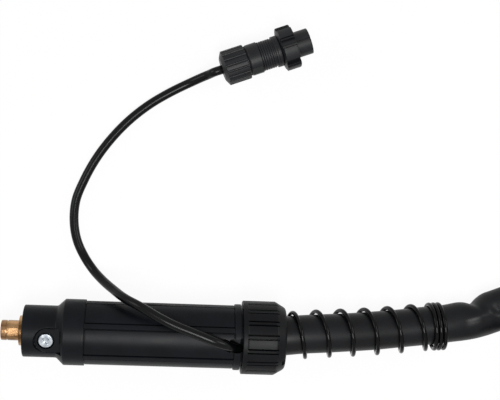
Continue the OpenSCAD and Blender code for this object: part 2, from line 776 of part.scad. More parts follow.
module grip_inside() {
    rod(-1, hose_d + 2 * seat + 0.2, 6);
    rod(4, grip_bore_d, grip_len - 8);
    rod(grip_len - 5, neck_d + 2 * seat, 6);
    translate([slot_x[0], -grip_mid_r - 6, -trigger_w / 2 - 0.2])
        cube([slot_x[1] - slot_x[0], grip_mid_r - 4, trigger_w + 0.4]);
    translate([pivot[0], pivot[1], -trigger_pin_len / 2 - 2 * seat])
        cylinder(d = trigger_pin_d + 2 * run_fit, h = trigger_pin_len + 4 * seat);
    for (p = handle_screw_spots())
        translate([p[0], p[1], 0]) {
            translate([0, 0, -handle_screw_reach - 2 * seat])
                cylinder(d = handle_screw_d + 2 * seat, h = 2 * handle_screw_reach);
            translate([0, 0, handle_screw_seat])
                cylinder(d = handle_screw_head[0] + 2 * loose, h = grip_thick);
        }
}

// posts that carry the switch between the neck tube and the trigger slot
module switch_posts() {
    for (x = [switch_x + 1, switch_x + switch_len - 4])
        translate([x, post_y[0], -12]) cube([3, post_y[1] - post_y[0], 12 - switch_w / 2 - seat]);
}

module handle_half(side) {
    color([0.1, 0.1, 0.11]) at_handle() intersection() {
        union() {
            difference() {
                grip_outside();
                grip_inside();
            }
            if (side < 0) intersection() {
                switch_posts();
                grip_outside();
            }
        }
        translate([-1, -2 * grip_thick, side > 0 ? seat / 2 : -grip_thick - seat / 2])
            cube([grip_len + 2, 4 * grip_thick, grip_thick]);
    }
}

module handle_left_shell() {
    handle_half(1);
}

module handle_right_shell() {
    handle_half(-1);
}

module handle_screws() {
    recess = [handle_screw_head[0] * 0.54, 0.7, 1];
    head_top = handle_screw_seat + handle_screw_head[1];
    color(steel) at_handle() for (p = handle_screw_spots())
        translate([p[0], p[1], 0]) difference() {
            union() {
                translate([0, 0, handle_screw_seat])
                    cylinder(d = handle_screw_head[0], h = handle_screw_head[1]);
                translate([0, 0, -handle_screw_reach])
                    cylinder(d = handle_screw_d, h = handle_screw_reach + handle_screw_seat + seat);
            }
            for (a = [0, 90])
                rotate([0, 0, a])
                    translate([-recess[0] / 2, -recess[1] / 2, head_top - recess[2]])
                        cube([recess[0], recess[1], 2 * recess[2]]);
        }
}

module handle_gland() {
    gland_r = hose_r + seat + 0.1;
    color([0.12, 0.12, 0.12]) at_handle()
        lathe([[-28, gland_r], [-28, gland_r + 0.8], [-4, grip_r(0) - 2.8], [-0.1, grip_r(0) - 2.8],
            [-0.1, gland_r]]);
}

module handle_cable_end() {
    color([0.15, 0.12, 0.1]) at_handle() rod(hose_in, cable_d, joint_x - 2 * seat - hose_in);
}

module cable_joint() {
    color(brass) at_handle() difference() {
        union() {
            rod(joint_x - 12, cable_d + 3.6, 12);
            rod(joint_x, cable_d + 2, joint_len);
        }
        rod(joint_x - 13, cable_d + 2 * seat, 13 - seat);
        rod(joint_x + joint_len - 8, neck_core_d + 2 * seat, 9);
    }
}

module trigger() {
    pad_top = pad_y - trigger_t;
    nub_len = switch_top - button_out - loose - pad_y;
    w = trigger_w;
    pivot_y = pivot[1];
    boss = pivot_boss_r;
    skirt = [[-42, pad_y], [-42, -14.5], [-34, -13], [-6, -10.5], [0, pivot_y + boss],
        [boss, pivot_y], [2, pad_y + 2.6], [-2, pad_y]];
    color([0.12, 0.12, 0.13]) at_handle() translate([pivot[0], 0, 0]) difference() {
        union() {
            translate([0, 0, -w / 2]) linear_extrude(w) difference() {
                polygon([[-43, pad_y], [-43, pad_y - 1.2], [-38, pad_top + 0.6], [-24, pad_top + 0.3],
                    [-10, pad_top], [-2, pad_top + 1.2], [2, pad_y + 0.6], [2, pad_y + 2.6], [-2, pad_y]]);
                translate([-22, pad_top - finger_r + 1]) circle(r = finger_r);
            }
            for (z = [-w / 2, w / 2 - skirt_t])
                translate([0, 0, z]) linear_extrude(skirt_t) polygon(skirt);
            translate([0, pivot_y, -w / 2]) cylinder(r = boss, h = w);
            translate([button_x - pivot[0], pad_y - 0.5, 0]) rotate([-90, 0, 0])
                cylinder(d = 3, h = nub_len + 0.5);
        }
        translate([0, pivot_y, -w]) cylinder(d = trigger_pin_d + 2 * run_fit, h = 2 * w);
    }
}

module trigger_pin() {
    color(steel) at_handle() translate([pivot[0], pivot[1], -trigger_pin_len / 2])
        cylinder(d = trigger_pin_d, h = trigger_pin_len);
}

module switch_body() {
    color([0.75, 0.12, 0.1]) at_handle() difference() {
        translate([switch_x, switch_top, -switch_w / 2]) cube([switch_len, switch_h, switch_w]);
        translate([button_x, switch_top - 1, 0]) rotate([-90, 0, 0])
            cylinder(d = button_d + 2 * run_fit, h = 5.5);
    }
}

module switch_button() {
    color("white") at_handle() translate([button_x, switch_top - button_out, 0]) rotate([-90, 0, 0])
        cylinder(d = button_d, h = button_out + 1.8);
}

// ---- swan neck ---------------------------------------------------------------------------

// Frame at the end of the neck's bend: +X forward to the mouth.
module at_neck_end() {
    at_handle()
        translate([bend_x + neck_bend_r * sin(neck_bend), -neck_bend_r * (1 - cos(neck_bend)), 0])
            rotate([0, 0, -neck_bend]) children();
}

neck_steps = 8;
neck_dir = [cos(neck_bend), -sin(neck_bend), 0];
function bend_point(a) = [bend_x + neck_bend_r * sin(a), -neck_bend_r * (1 - cos(a)), 0];
function neck_route(start, past) = concat([[start, 0, 0]],
    [for (i = [0:neck_steps]) bend_point(neck_bend * i / neck_steps)],
    [bend_point(neck_bend) + past * neck_dir]);

module neck_tube() {
    color(copper) at_handle()
        pipe(neck_route(joint_x + joint_len - 7, neck_end_q), neck_core_d, neck_bore_d, 24);
}

module neck_insulation() {
    color([0.1, 0.1, 0.1]) at_handle()
        pipe(neck_route(neck_x, neck_out_q), neck_d, neck_core_d + 2 * seat, 24);
}

module neck_nut() {
    nut_r = neck_d / 2 + 3.6;
    color([0.1, 0.1, 0.1]) at_handle() difference() {
        lathe([[grip_len + 0.2, neck_d / 2 + seat], [grip_len + 0.2, nut_r - 0.8], [grip_len + 1, nut_r],
            [grip_len + 10, nut_r], [grip_len + 13, nut_r - 2.4], [grip_len + 13, neck_d / 2 + seat]]);
        for (i = [0:11])
            turned(30 * i) translate([grip_len + 2, 0, nut_r + 0.4]) rotate([0, 90, 0])
                cylinder(r = 1.1, h = 12, $fn = 16);
    }
}

module nozzle_insulator() {
    color([0.45, 0.2, 0.12]) at_neck_end() difference() {
        rod(neck_out_q, neck_d - 0.2, neck_end_q - neck_out_q);
        rod(neck_out_q - 1, neck_core_d + 2 * seat, neck_end_q);
    }
}

clip_r = nozzle_d / 2 - 1.5;

module nozzle_clip() {
    color(steel) at_neck_end() difference() {
        lathe([[neck_out_q + 1, neck_d / 2], [neck_out_q + 1, clip_r - 0.4],
            [neck_out_q + 3, clip_r - run_fit], [neck_out_q + 5, clip_r - run_fit],
            [neck_out_q + 7, clip_r - 0.4], [neck_out_q + 7, neck_d / 2]]);
        translate([neck_out_q, -1, 0]) cube([8, 2, nozzle_d]);
    }
}

module tip_holder() {
    color(brass) at_neck_end() difference() {
        union() {
            rod(neck_end_q, neck_core_d + 2, 6);
            rod(neck_end_q + 6, neck_core_d - 1, holder_end - neck_end_q - 6);
        }
        rod(neck_end_q - 1, 5, holder_end);
        rod(holder_end - 8, tip_d - 2 + 2 * seat, 9);
    }
}

module gas_diffuser() {
    diffuser_x = neck_end_q + 6;
    color([0.85, 0.82, 0.75]) at_neck_end() difference() {
        rod(diffuser_x, neck_core_d + 3, 14);
        rod(diffuser_x - 1, neck_core_d - 1 + 2 * seat, 16);
        for (i = [0:5])
            turned(60 * i) translate([diffuser_x + 9, 0, 0]) cylinder(d = 2, h = nozzle_d);
    }
}

module contact_tip() {
    color(copper) at_neck_end() difference() {
        union() {
            rod(holder_end - 7, tip_d - 2, 7.5);
            rod(holder_end + 0.1, tip_d, tip_end - holder_end - 4);
            translate([tip_end - 4, 0, 0]) rotate([0, 90, 0]) cylinder(d1 = tip_d, d2 = tip_d - 2.5, h = 4);
        }
        rod(holder_end - 8, wire_d, tip_end);
    }
}

module gas_nozzle() {
    mouth = nozzle_q + nozzle_len;
    outer = nozzle_d / 2;
    mouth_r = mouth_d / 2;
    color([0.8, 0.55, 0.4]) at_neck_end()
        lathe([[nozzle_q, clip_r], [nozzle_q, outer - 0.4], [nozzle_q + 0.4, outer],
            [mouth - nozzle_taper, outer], [mouth - nozzle_straight, mouth_r + 1.8],
            [mouth - 0.4, mouth_r + 1.8], [mouth, mouth_r + 1.4],
            [mouth, mouth_r], [mouth - nozzle_straight - 2, mouth_r], [mouth - nozzle_taper, clip_r]]);
}

current_pin();
connection_body();
nose_screw();
housing();
collar_nut();
spring_carrier();
power_cable_end();
crimp_ferrule();
wire_liner();
lead_anchor();
bend_spring();
hose_plug_run();
hose_coil();
hose_handle_run();
control_lead();
clamp_nut();
gland_seal();
connector_barrel();
coupling_ring();
front_shell();
contact_insert();
contacts();
handle_left_shell();
handle_right_shell();
handle_screws();
handle_gland();
handle_cable_end();
cable_joint();
trigger();
trigger_pin();
switch_body();
switch_button();
neck_tube();
neck_insulation();
neck_nut();
nozzle_insulator();
nozzle_clip();
tip_holder();
gas_diffuser();
contact_tip();
gas_nozzle();
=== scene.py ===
import math

import bmesh
import bpy
import numpy as np
from mathutils import Matrix, Vector


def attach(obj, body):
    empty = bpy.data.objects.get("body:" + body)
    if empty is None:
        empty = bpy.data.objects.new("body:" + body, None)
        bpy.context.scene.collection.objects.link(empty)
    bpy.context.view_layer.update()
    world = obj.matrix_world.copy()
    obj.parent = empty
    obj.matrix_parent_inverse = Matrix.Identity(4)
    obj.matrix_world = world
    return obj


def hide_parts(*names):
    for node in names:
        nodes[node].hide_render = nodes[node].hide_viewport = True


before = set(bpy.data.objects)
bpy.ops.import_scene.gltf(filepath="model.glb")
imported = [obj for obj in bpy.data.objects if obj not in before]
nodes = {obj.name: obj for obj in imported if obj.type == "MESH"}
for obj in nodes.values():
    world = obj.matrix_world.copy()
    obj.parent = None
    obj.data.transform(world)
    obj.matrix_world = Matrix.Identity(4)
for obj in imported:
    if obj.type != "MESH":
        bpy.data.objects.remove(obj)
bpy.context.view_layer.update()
scene = bpy.context.scene
scene.view_settings.view_transform = "Standard"
MM = 0.001


# ---- camera ----
# The view is from straight above, a little to the left of the middle, with a long lens.
# The frame is turned by just over two degrees, so the plug slopes down to the right.

def look(location, target, right):
    """A matrix that faces a point from a place, and the direction of the picture's right."""
    back = (Vector(location) - Vector(target)).normalized()
    across = Vector(right)
    across = (across - across.dot(back) * back).normalized()
    turn = Matrix((across, back.cross(across), back)).transposed().to_4x4()
    return Matrix.Translation(location) @ turn


def placed(name, data):
    """A new object in the scene."""
    item = bpy.data.objects.new(name, data)
    scene.collection.objects.link(item)
    return item


EYE, AIM, PICTURE_RIGHT = (0.0904, 0.08755, 0.769), (0.1457, 0.0897, 0), (0.9966, 0.0391, 0.0719)
camera = placed("camera", bpy.data.cameras.new("camera"))
camera.data.lens = 85
camera.data.sensor_width = 36
camera.data.clip_end = 20
camera.matrix_world = look(EYE, AIM, PICTURE_RIGHT)
scene.camera = camera


# ---- hose ----
# One rubber jacketed hose from the plug's carrier through the spring, round the coil and on
# to the handle. It kinks behind the spring, where it leaves the plug's line. The route
# repeats the one in the part's source.

FLOOR = -23.8
HOSE_D = 24.8


def unit(v):
    """Vectors divided by their lengths."""
    return v / np.linalg.norm(v, axis=-1, keepdims=True)


def smooth(points, step):
    """A curve through the points: cubic pieces whose slopes follow the chords on both sides."""
    p = np.array(points, float)
    chord = np.linalg.norm(np.diff(p, axis=0), axis=1, keepdims=True)
    slope = np.diff(p, axis=0) / chord
    inner = (slope[:-1] * chord[1:] + slope[1:] * chord[:-1]) / (chord[:-1] + chord[1:])
    tangent = np.vstack([slope[:1], inner, slope[-1:]])
    out = []
    for i, length in enumerate(chord[:, 0]):
        count = max(1, int(round(length / step)))
        t = np.arange(count)[:, None] / count
        out.append((2 * t**3 - 3 * t**2 + 1) * p[i] + (t**3 - 2 * t**2 + t) * length * tangent[i]
                   + (3 * t**2 - 2 * t**3) * p[i + 1] + (t**3 - t**2) * length * tangent[i + 1])
    out.append(p[-1:])
    return np.vstack(out)


def grid_mesh(name, rings, ends="caps"):
    """A skin over rings of points, an array of shape (rings, points, 3), closed round each ring.

    A "loop" joins the last ring to the first. "caps" close both ends with one face each, and
    "strips" with faces between the ring's two halves, for a ring that goes out and back.
    """
    count, sides = rings.shape[:2]
    i, k = np.meshgrid(np.arange(count if ends == "loop" else count - 1), np.arange(sides), indexing="ij")
    a, b = (i * sides + k).ravel(), (i * sides + (k + 1) % sides).ravel()
    ahead = ((i + 1) % count * sides - i * sides).ravel()
    faces = np.stack([a, b, b + ahead, a + ahead], 1).tolist()
    for start in (0, (count - 1) * sides):
        if ends == "caps":
            faces.append(list(range(start, start + sides)))
        if ends == "strips":
            half = np.arange(sides // 2 - 1)
            back = sides - 1 - half
            faces += (start + np.stack([half, half + 1, back - 1, back], 1)).tolist()
    mesh = bpy.data.meshes.new(name)
    mesh.from_pydata(rings.reshape(-1, 3).tolist(), [], faces)
    mesh.validate()
    solid = bmesh.new()
    solid.from_mesh(mesh)
    bmesh.ops.recalc_face_normals(solid, faces=solid.faces)
    solid.to_mesh(mesh)
    solid.free()
    mesh.polygons.foreach_set("use_smooth", [True] * len(mesh.polygons))
    mesh.update()
    return placed(name, mesh)


def spread(count, first=0.0):
    """Angles spread evenly round an axis."""
    return first + np.linspace(0, 2 * math.pi, count, endpoint=False)


def tube(name, path, radius, sides, ups=None, bore=0.0):
    """A tube along a path, or a pipe where it has a bore.

    radius is a number, or a function of the distance along and the angle from the top.
    """
    heading = unit(np.gradient(path, axis=0))
    up = np.tile([0.0, 0.0, 1.0], (len(path), 1)) if ups is None else ups
    side = unit(np.cross(heading, up))
    up = np.cross(side, heading)
    distance = np.concatenate([[0], np.cumsum(np.linalg.norm(np.diff(path, axis=0), axis=1))])
    s, a = np.meshgrid(distance, spread(sides), indexing="ij")
    r = radius(s, a) if callable(radius) else np.full_like(s, radius)
    outward = np.cos(a)[..., None] * up[:, None, :] + np.sin(a)[..., None] * side[:, None, :]
    rings = path[:, None, :] + r[..., None] * outward
    if bore:
        rings = np.concatenate([rings, (path[:, None, :] + bore * outward)[::-1]])
    return grid_mesh(name, rings, "loop" if bore else "caps")


coil_centre = np.array([490.0, -69.0])
coil_start, coil_sweep, coil_r, coil_pitch, coil_layer = 110.9, 920.9, 147.5, 25.9, 25.7
rest_z = FLOOR + HOSE_D / 2


def coil_point(sweep):
    """A point of the coil: in on the lower layer, out on the upper, with a climb between them."""
    half = (coil_sweep - 180) / 2
    h = min(1, max(0, (sweep - half) / 180))
    inward = min(sweep, half) / 360 + h * (1 - h) / 2 - max(0, sweep - half - 180) / 360
    r = coil_r - coil_pitch * inward
    turn = math.radians(coil_start - sweep)
    return [coil_centre[0] + r * math.cos(turn), coil_centre[1] + r * math.sin(turn),
            rest_z + coil_layer * (1 - math.cos(math.pi * h)) / 2]


plug_route = [
    [158.2, 1.2, 0], [166, 1.2, 0], [174, 1.7, -0.2], [184, 2.6, -0.9], [198, 3.8, -2.3],
    [214, 4.9, -4.1], [231, 6.3, -5.9], [247, 8, -7.3], [263, 10, -8.1], [280, 12.3, -8.3],
    [292, 14.6, -9.2], [304, 18, -10.4], [316, 22.2, -11.2], [330, 27.5, -11.4],
    [355, 37.1, -11.4], [385, 48.6, -11.4]]
handle_route = [
    [450, -216.5, 13.2], [435, -216.5, 10.2], [420, -216.5, 5.9], [410, -216.5, 2.7],
    [400, -216.5, -0.5], [385, -216.5, -4.8], [370, -216.5, -7.8], [355, -216.5, -8.8],
    [335, -216.5, -8.8], [308, -216.5, -8.8]]
coil_steps = 92
coil_points = [coil_point(coil_sweep * i / coil_steps) for i in range(coil_steps + 1)]
coil_points.append([465, coil_points[-1][1], coil_points[-1][2]])
# the kinked stretch is laid in finer steps than the rest
kink_path = smooth(plug_route, 1.4)
hose_path = MM * np.vstack([kink_path, smooth([plug_route[-1]] + coil_points + handle_route, 3.4)[1:]])


def bell(value, middle, width):
    """A bell curve with a height of 1."""
    return np.exp(-((value - middle) / width)**2)


def ramp(value, start, stop):
    """Rises smoothly from 0 at start to 1 at stop, and falls where stop is the smaller."""
    t = np.clip((value - start) / (stop - start), 0, 1)
    return t * t * (3 - 2 * t)


KINK, FULLER, UNEVEN, NUT_SHIFT, NEAR_SPREAD, FAR_SPREAD = 143.5, 0.28, 0.07, 0.4, 1.4, 1.2
CREASE, BASIN, BULGE, FOLD, HOLLOW, RIDGE = 1.3, 2.0, 0.25, 2.4, 1.7, 0.9


def hose_radius(s, a):
    """Jacket's radius round the kink.

    A jacket a little fuller up to the bend, a sharp crease on the bend's inside with a bulge
    before it, a sideways spread behind it, and on the top a fold, a hollow and a long ridge.
    Behind the nut the section lies a little towards the bend's inside.
    """
    s, side = s / MM, np.sin(a)
    a = (a + math.pi) % (2 * math.pi) - math.pi
    full = ramp(s, 6, 14) * ramp(s, KINK + 14, KINK - 4)
    waver = np.sin(0.19 * s + 1.7 * np.cos(a)) * bell(s, 120, 60)
    r = HOSE_D / 2 - 0.05 + FULLER * full + UNEVEN * waver - NUT_SHIFT * side * bell(s, 24, 12)
    inner = np.clip(-side, 0, 1)
    near_side = NEAR_SPREAD * ramp(s, KINK + 1, KINK + 13)
    far_side = FAR_SPREAD * ramp(s, KINK - 24, KINK + 12)
    spread = np.where(side < 0, near_side, far_side) * ramp(s, KINK + 55, KINK + 32)
    crease = CREASE * bell(s, KINK + 4 * (1 + side), 2.4) * inner**1.4
    crease = crease + BASIN * bell(s, KINK, 5.5) * inner**2
    bulge = bell(s, KINK - 12, 5) * inner**2
    fold = ramp(s, KINK - 11, KINK + 1) * ramp(s, KINK + 16, KINK + 5) * bell(a, -0.1, 0.75)
    hollow = bell(s, KINK + 16, 8) * bell(a, -0.15, 0.42)
    ridge_at = -0.45 + 0.75 * ramp(s, KINK + 3, KINK + 17)
    ridge = ramp(s, KINK + 3, KINK + 9) * ramp(s, KINK + 36, KINK + 24) * bell(a, ridge_at, 0.27)
    return MM * (r + 1.2 * spread * side**2 - 0.5 * spread * np.cos(a)**2 - crease + BULGE * bulge
                 + FOLD * fold - HOLLOW * hollow + RIDGE * ridge)


def put(tree, kind, **values):
    """Adds a shader node and sets its inputs or its own settings by name."""
    added = tree.nodes.new(kind)
    for key, value in values.items():
        found = [s for s in added.inputs if s.name.lower() == key.replace("_", " ")]
        if found:
            found[0].default_value = value
        else:
            setattr(added, key, value)
    return added


def wire(tree, *joins):
    """Links outputs to inputs: a node and its socket's name or number, and the same again."""
    for start, leaving, end, entering in joins:
        tree.links.new(start.outputs[leaving], end.inputs[entering])


def grain_group():
    """Moulded grain: a fine bump and a slow mottle, both from where a point lies on the object."""
    group = bpy.data.node_groups.new("moulded_grain", "ShaderNodeTree")
    for name in ("Fine Scale", "Depth", "Slow Scale"):
        group.interface.new_socket(name, in_out="INPUT", socket_type="NodeSocketFloat")
    group.interface.new_socket("Mottle", in_out="OUTPUT", socket_type="NodeSocketFloat")
    group.interface.new_socket("Normal", in_out="OUTPUT", socket_type="NodeSocketVector")
    start = put(group, "NodeGroupInput")
    where = put(group, "ShaderNodeTexCoord")
    fine = put(group, "ShaderNodeTexNoise", detail=4.0, roughness=0.6)
    slow = put(group, "ShaderNodeTexNoise", detail=5.0, roughness=0.55)
    bump = put(group, "ShaderNodeBump", strength=1.0)
    end = put(group, "NodeGroupOutput")
    wire(group, (where, "Object", fine, "Vector"), (where, "Object", slow, "Vector"),
         (start, "Fine Scale", fine, "Scale"), (start, "Slow Scale", slow, "Scale"),
         (start, "Depth", bump, "Distance"), (fine, 0, bump, "Height"), (slow, 0, end, "Mottle"),
         (bump, 0, end, "Normal"))
    return group


GRAIN = grain_group()


def blank(owner):
    """The emptied node tree of a material or a world."""
    owner.use_nodes = True
    owner.node_tree.nodes.clear()
    return owner.node_tree


def moulded(name, dark, light, rough, fine=1200.0, depth=0.018, slow=60.0, gloss=0.08,
            group=GRAIN, metal=0.0):
    """A surface with grain, mottled between two colours and two roughnesses."""
    material = bpy.data.materials.new(name)
    tree = blank(material)
    grain = put(tree, "ShaderNodeGroup", node_tree=group)
    for label, value in (("Fine Scale", fine), ("Depth", depth * MM), ("Slow Scale", slow)):
        grain.inputs[label].default_value = value
    tint = put(tree, "ShaderNodeValToRGB")
    for stop, place, colour in zip(tint.color_ramp.elements, (0.35, 0.68), (dark, light)):
        stop.position, stop.color = place, (*colour, 1)
    sheen = put(tree, "ShaderNodeMapRange", from_min=0.3, from_max=0.7, to_min=rough[0], to_max=rough[1])
    skin = put(tree, "ShaderNodeBsdfPrincipled", metallic=metal, specular_ior_level=gloss)
    out = put(tree, "ShaderNodeOutputMaterial")
    wire(tree, (grain, "Mottle", tint, 0), (grain, "Mottle", sheen, "Value"),
         (tint, 0, skin, "Base Color"), (sheen, 0, skin, "Roughness"),
         (grain, "Normal", skin, "Normal"), (skin, 0, out, 0))
    return material


def dress(piece, material):
    """Gives a piece its finish in its first material slot."""
    piece.data.materials.clear()
    piece.data.materials.append(material)


def stands_for(piece, material, *names, body="torch"):
    """The piece rides on a body, replaces solids and wears a material."""
    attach(piece, body)
    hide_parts(*names)
    dress(piece, material)
    return piece


hose_rubber = moulded(
    "hose_rubber", (0.0022, 0.0024, 0.003), (0.004, 0.0044, 0.0054), (0.36, 0.44),
    1100, 0.010, 45, gloss=0.15)
hose = stands_for(
    tube("hose", hose_path, hose_radius, 64), hose_rubber,
    "hose_plug_run", "hose_coil", "hose_handle_run")


# ---- control lead ----
# A thin glossy vinyl lead. It leaves the plug through the notch, runs forward over the
# panels, and loops round on the bench to the connector, where the clamp nut's seal grips it.

LEAD_R = 3
conn_turn = math.radians(20.9)
conn_dir = np.array([math.cos(conn_turn), math.sin(conn_turn), 0])
conn_pos = np.array([121.9, 174.0, -9.2])
lead_route = [
    [143, -7, 11.5], [134.9, -4.1, 19], [131.5, -2.9, 21.9], [128, -1.7, 23.6], [124, -0.2, 24.5],
    [118, 2.1, 24.8], [110, 5, 24.7], [101.5, 8, 24.5], [90, 13.1, 24], [77.5, 19.7, 21.6],
    [68, 23.7, 14.5], [59.5, 28.3, 2], [51, 34, -10], [45, 39.4, -17], [38.5, 48, -20.4],
    [33.5, 58, -20.8], [30.7, 72.5, -20.8], [31.5, 85, -20.8], [36.3, 98.5, -20.8],
    [43.6, 113, -20.8], [53.5, 127.3, -20.8], [66.3, 141.3, -20.8], [78, 151, -20.8],
    [91, 159.4, -20.7], [105.3, 167, -19.3], [112, 170.1, -16], [117, 172.1, -12.2],
    list(conn_pos - 3 * conn_dir), list(conn_pos + 4.5 * conn_dir)]
lead_path = MM * smooth(lead_route, 1.6)
lead_vinyl = moulded(
    "lead_black", (0.0012, 0.0013, 0.0016), (0.0018, 0.002, 0.0024), (0.21, 0.24),
    300, 0.0005, 30, gloss=0.13)
lead = stands_for(tube("lead", lead_path, LEAD_R * MM, 32), lead_vinyl, "control_lead")


# ---- bend spring ----
# Coated steel wire: one closed turn in the carrier, open turns along the hose, and closed
# turns at the end, where the cut end shows. It turns from +Y over the top to -Y.

WIRE_D = 2.8
SPRING_R, SPRING_START, SPRING_LEAN, SPRING_LIFT, SPRING_SAG = 14.7, 162.2, 0.7, 0.4, 1.3
CLOSED_RISE, OPEN_RISE, OPEN_TURNS, ALL_TURNS = 3.0, 16.1, 6.45, 10.3


def spring_x(turn):
    """Distance along the plug's axis after a number of turns."""
    tail = np.clip(turn - 1 - OPEN_TURNS, 0, None)
    return (SPRING_START + CLOSED_RISE * (np.minimum(turn, 1) + tail)
            + OPEN_RISE * np.clip(turn - 1, 0, OPEN_TURNS))


turns = np.linspace(0, ALL_TURNS, int(ALL_TURNS * 60))
route = smooth(plug_route, 4)
centre, ahead, behind = [
    np.stack([np.interp(spring_x(turns) + past, route[:, 0], route[:, k]) for k in range(3)], 1)
    for past in (0, 2, -16)]
axis = unit(ahead - behind - [0, SPRING_LEAN, 0])
side = unit(np.cross([0, 0, 1], axis))
up = np.cross(axis, side)
phase = math.pi / 2 + 2 * math.pi * turns
outward = np.cos(phase)[:, None] * side + np.sin(phase)[:, None] * up
centre = centre + np.interp(turns, [1, ALL_TURNS], [SPRING_LIFT, -SPRING_SAG])[:, None] * side
spring_coat = moulded(
    "spring_black", (0.0008, 0.0008, 0.0009), (0.0016, 0.0016, 0.0018), (0.08, 0.11),
    900, 0.0005, 300, gloss=0.12)
stands_for(
    tube("spring", MM * (centre + SPRING_R * outward), WIRE_D / 2 * MM, 14, outward), spring_coat,
    "bend_spring")


# ---- plug: housing ----
# Moulded in one piece: smooth nose with the screw's pocket, cone, ring, six panels between
# ribs, rear collar with the lead's notch, and the spigot under the collar nut. Angles run
# from the top towards the right of the forward direction.

PLUG = (np.zeros(3), np.array([1.0, 0, 0]))
NOSE_R, RING_R, PANEL_R, COLLAR_R, SPIGOT_R = 16.7, 21.3, 20.5, 21.4, 18.6
NOSE_X, CONE_X, RING_X, PANEL_X, COLLAR_X, REAR_X, SPIGOT_X = 3.1, 24.5, 29.3, 42.4, 138.3, 142.4, 158.0
BORE_R, MOUTH_X, MOUTH_BORE_R, GAP_W, GAP_DEPTH = 10.9, 147.0, 16.8, 0.6, 0.4
RIB_H, RIB_W, GROOVE_W, GROOVE_DEPTH = 0.5, 3.2, 0.85, 1.2
RIB_TURN, RIBS = math.radians(-17), 6
SCREW_X, SCREW_TURN, SCREW_SEAT, SCREW_HEAD_R = 18.4, math.radians(20), 11.9, 4.75
POCKET_X, POCKET_Y, POCKET_R, POCKET_Z = SCREW_X + 0.7, -0.6, 8.6, 13.9
POCKET_END, POCKET_GROOVE, POCKET_TILT = RING_X - 1, 0.5, 0.07
NOTCH_TURN, NOTCH_HALF, NOTCH_X, NOTCH_FLOOR = math.radians(9.8), 4.7, 133.6, 11.5
LEAD_WAY = 3.7


def around(place, x, r, a):
    """Points at distance x along a place's axis, r from it and angle a from the top."""
    origin, forward = place
    x, r, a = np.broadcast_arrays(x, r, a)
    aside = np.cross(forward, [0, 0, 1])
    return MM * (origin + x[..., None] * forward + (r * np.sin(a))[..., None] * aside
                 + (r * np.cos(a))[..., None] * np.array([0, 0, 1.0]))


def rounded(outline, radius, steps=4):
    """The outline with each corner replaced by a short curve that leaves it `radius` earlier."""
    p = np.array(outline, float)
    t = np.linspace(0, 1, steps + 1)[:, None]
    out = [p[:1]]
    for before, corner, after in zip(p, p[1:], p[2:]):
        start, stop = [corner + min(radius, 0.45 * np.linalg.norm(q - corner)) * unit(q - corner)
                       for q in (before, after)]
        out.append((1 - t)**2 * start + 2 * t * (1 - t) * corner + t**2 * stop)
    return np.vstack(out + [p[-1:]])


def spaced(outline, step):
    """The outline with its stretches divided into steps no longer than the given one."""
    out = [outline[:1]]
    for start, stop in zip(outline, outline[1:]):
        count = max(1, math.ceil(np.linalg.norm(stop - start) / step))
        out.append(start + np.arange(1, count + 1)[:, None] / count * (stop - start))
    return np.vstack(out)


def columns(count, spots=(), marks=(), more=()):
    """Angles of the columns: an even set, a pair for every mark at each spot, and any more."""
    extra = [spot + sign * mark for spot in spots for mark in marks for sign in (-1, 1)]
    every = np.sort(np.concatenate([spread(count), extra, more]) % (2 * math.pi))
    return every[np.append(np.diff(every) > 0.0015, True)]


def nearest(a, count, first=0.0):
    """Signed angle to the nearest of some directions that are spread evenly round the axis."""
    step = 2 * math.pi / count
    return (a - first + step / 2) % step - step / 2


def creased(piece, degrees):
    """Keeps the edges sharper than an angle crisp; the rest is shaded smooth."""
    piece.data.set_sharp_from_angle(angle=math.radians(degrees))
    return piece


def pocket_distance(x, y):
    """Signed distance to the pocket's outline: a round front end, straight sides, a flat end."""
    front = np.hypot(x - POCKET_X, y - POCKET_Y) - POCKET_R
    sides = np.maximum(abs(y - POCKET_Y) - POCKET_R, x - POCKET_END)
    return np.where(x < POCKET_X, front, sides)


def counterbore_distance(x, y):
    """Signed distance to a circle a little wider than the screw's head."""
    return np.hypot(x - SCREW_X, y) - SCREW_HEAD_R - 0.8


def sink(x, y, z, distance, depth, reach=0.2, soft=0.3):
    """Lowers what lies inside an outline to a depth, and moves nearby columns onto the outline."""
    d = distance(x, y)
    nudge = 0.01
    along_x = (distance(x + nudge, y) - d) / nudge
    along_y = (distance(x, y + nudge) - d) / nudge
    near = (abs(d) < reach) & (z > depth)
    x, y = x - near * d * along_x, y - near * d * along_y
    inside = ramp(-distance(x, y), 0.02, soft)
    return x, y, z - inside * np.clip(z - depth, 0, None)


def panelled(x, r, a):
    """Ribs between the panels, each with a narrow groove on both sides."""
    s = abs(nearest(a, RIBS, RIB_TURN)) * r
    panel = (x > PANEL_X + 0.1) & (x < COLLAR_X - 0.1)
    rib = PANEL_R + RIB_H * ramp(s, RIB_W / 2 + 0.02, RIB_W / 2 - 0.14)
    r = np.where(panel & (s < RIB_W / 2 + 0.1), rib, r)
    beside = (s > RIB_W / 2 + 0.05) & (s < RIB_W / 2 + GROOVE_W - 0.05)
    return np.where(panel & beside, PANEL_R - GROOVE_DEPTH, r)


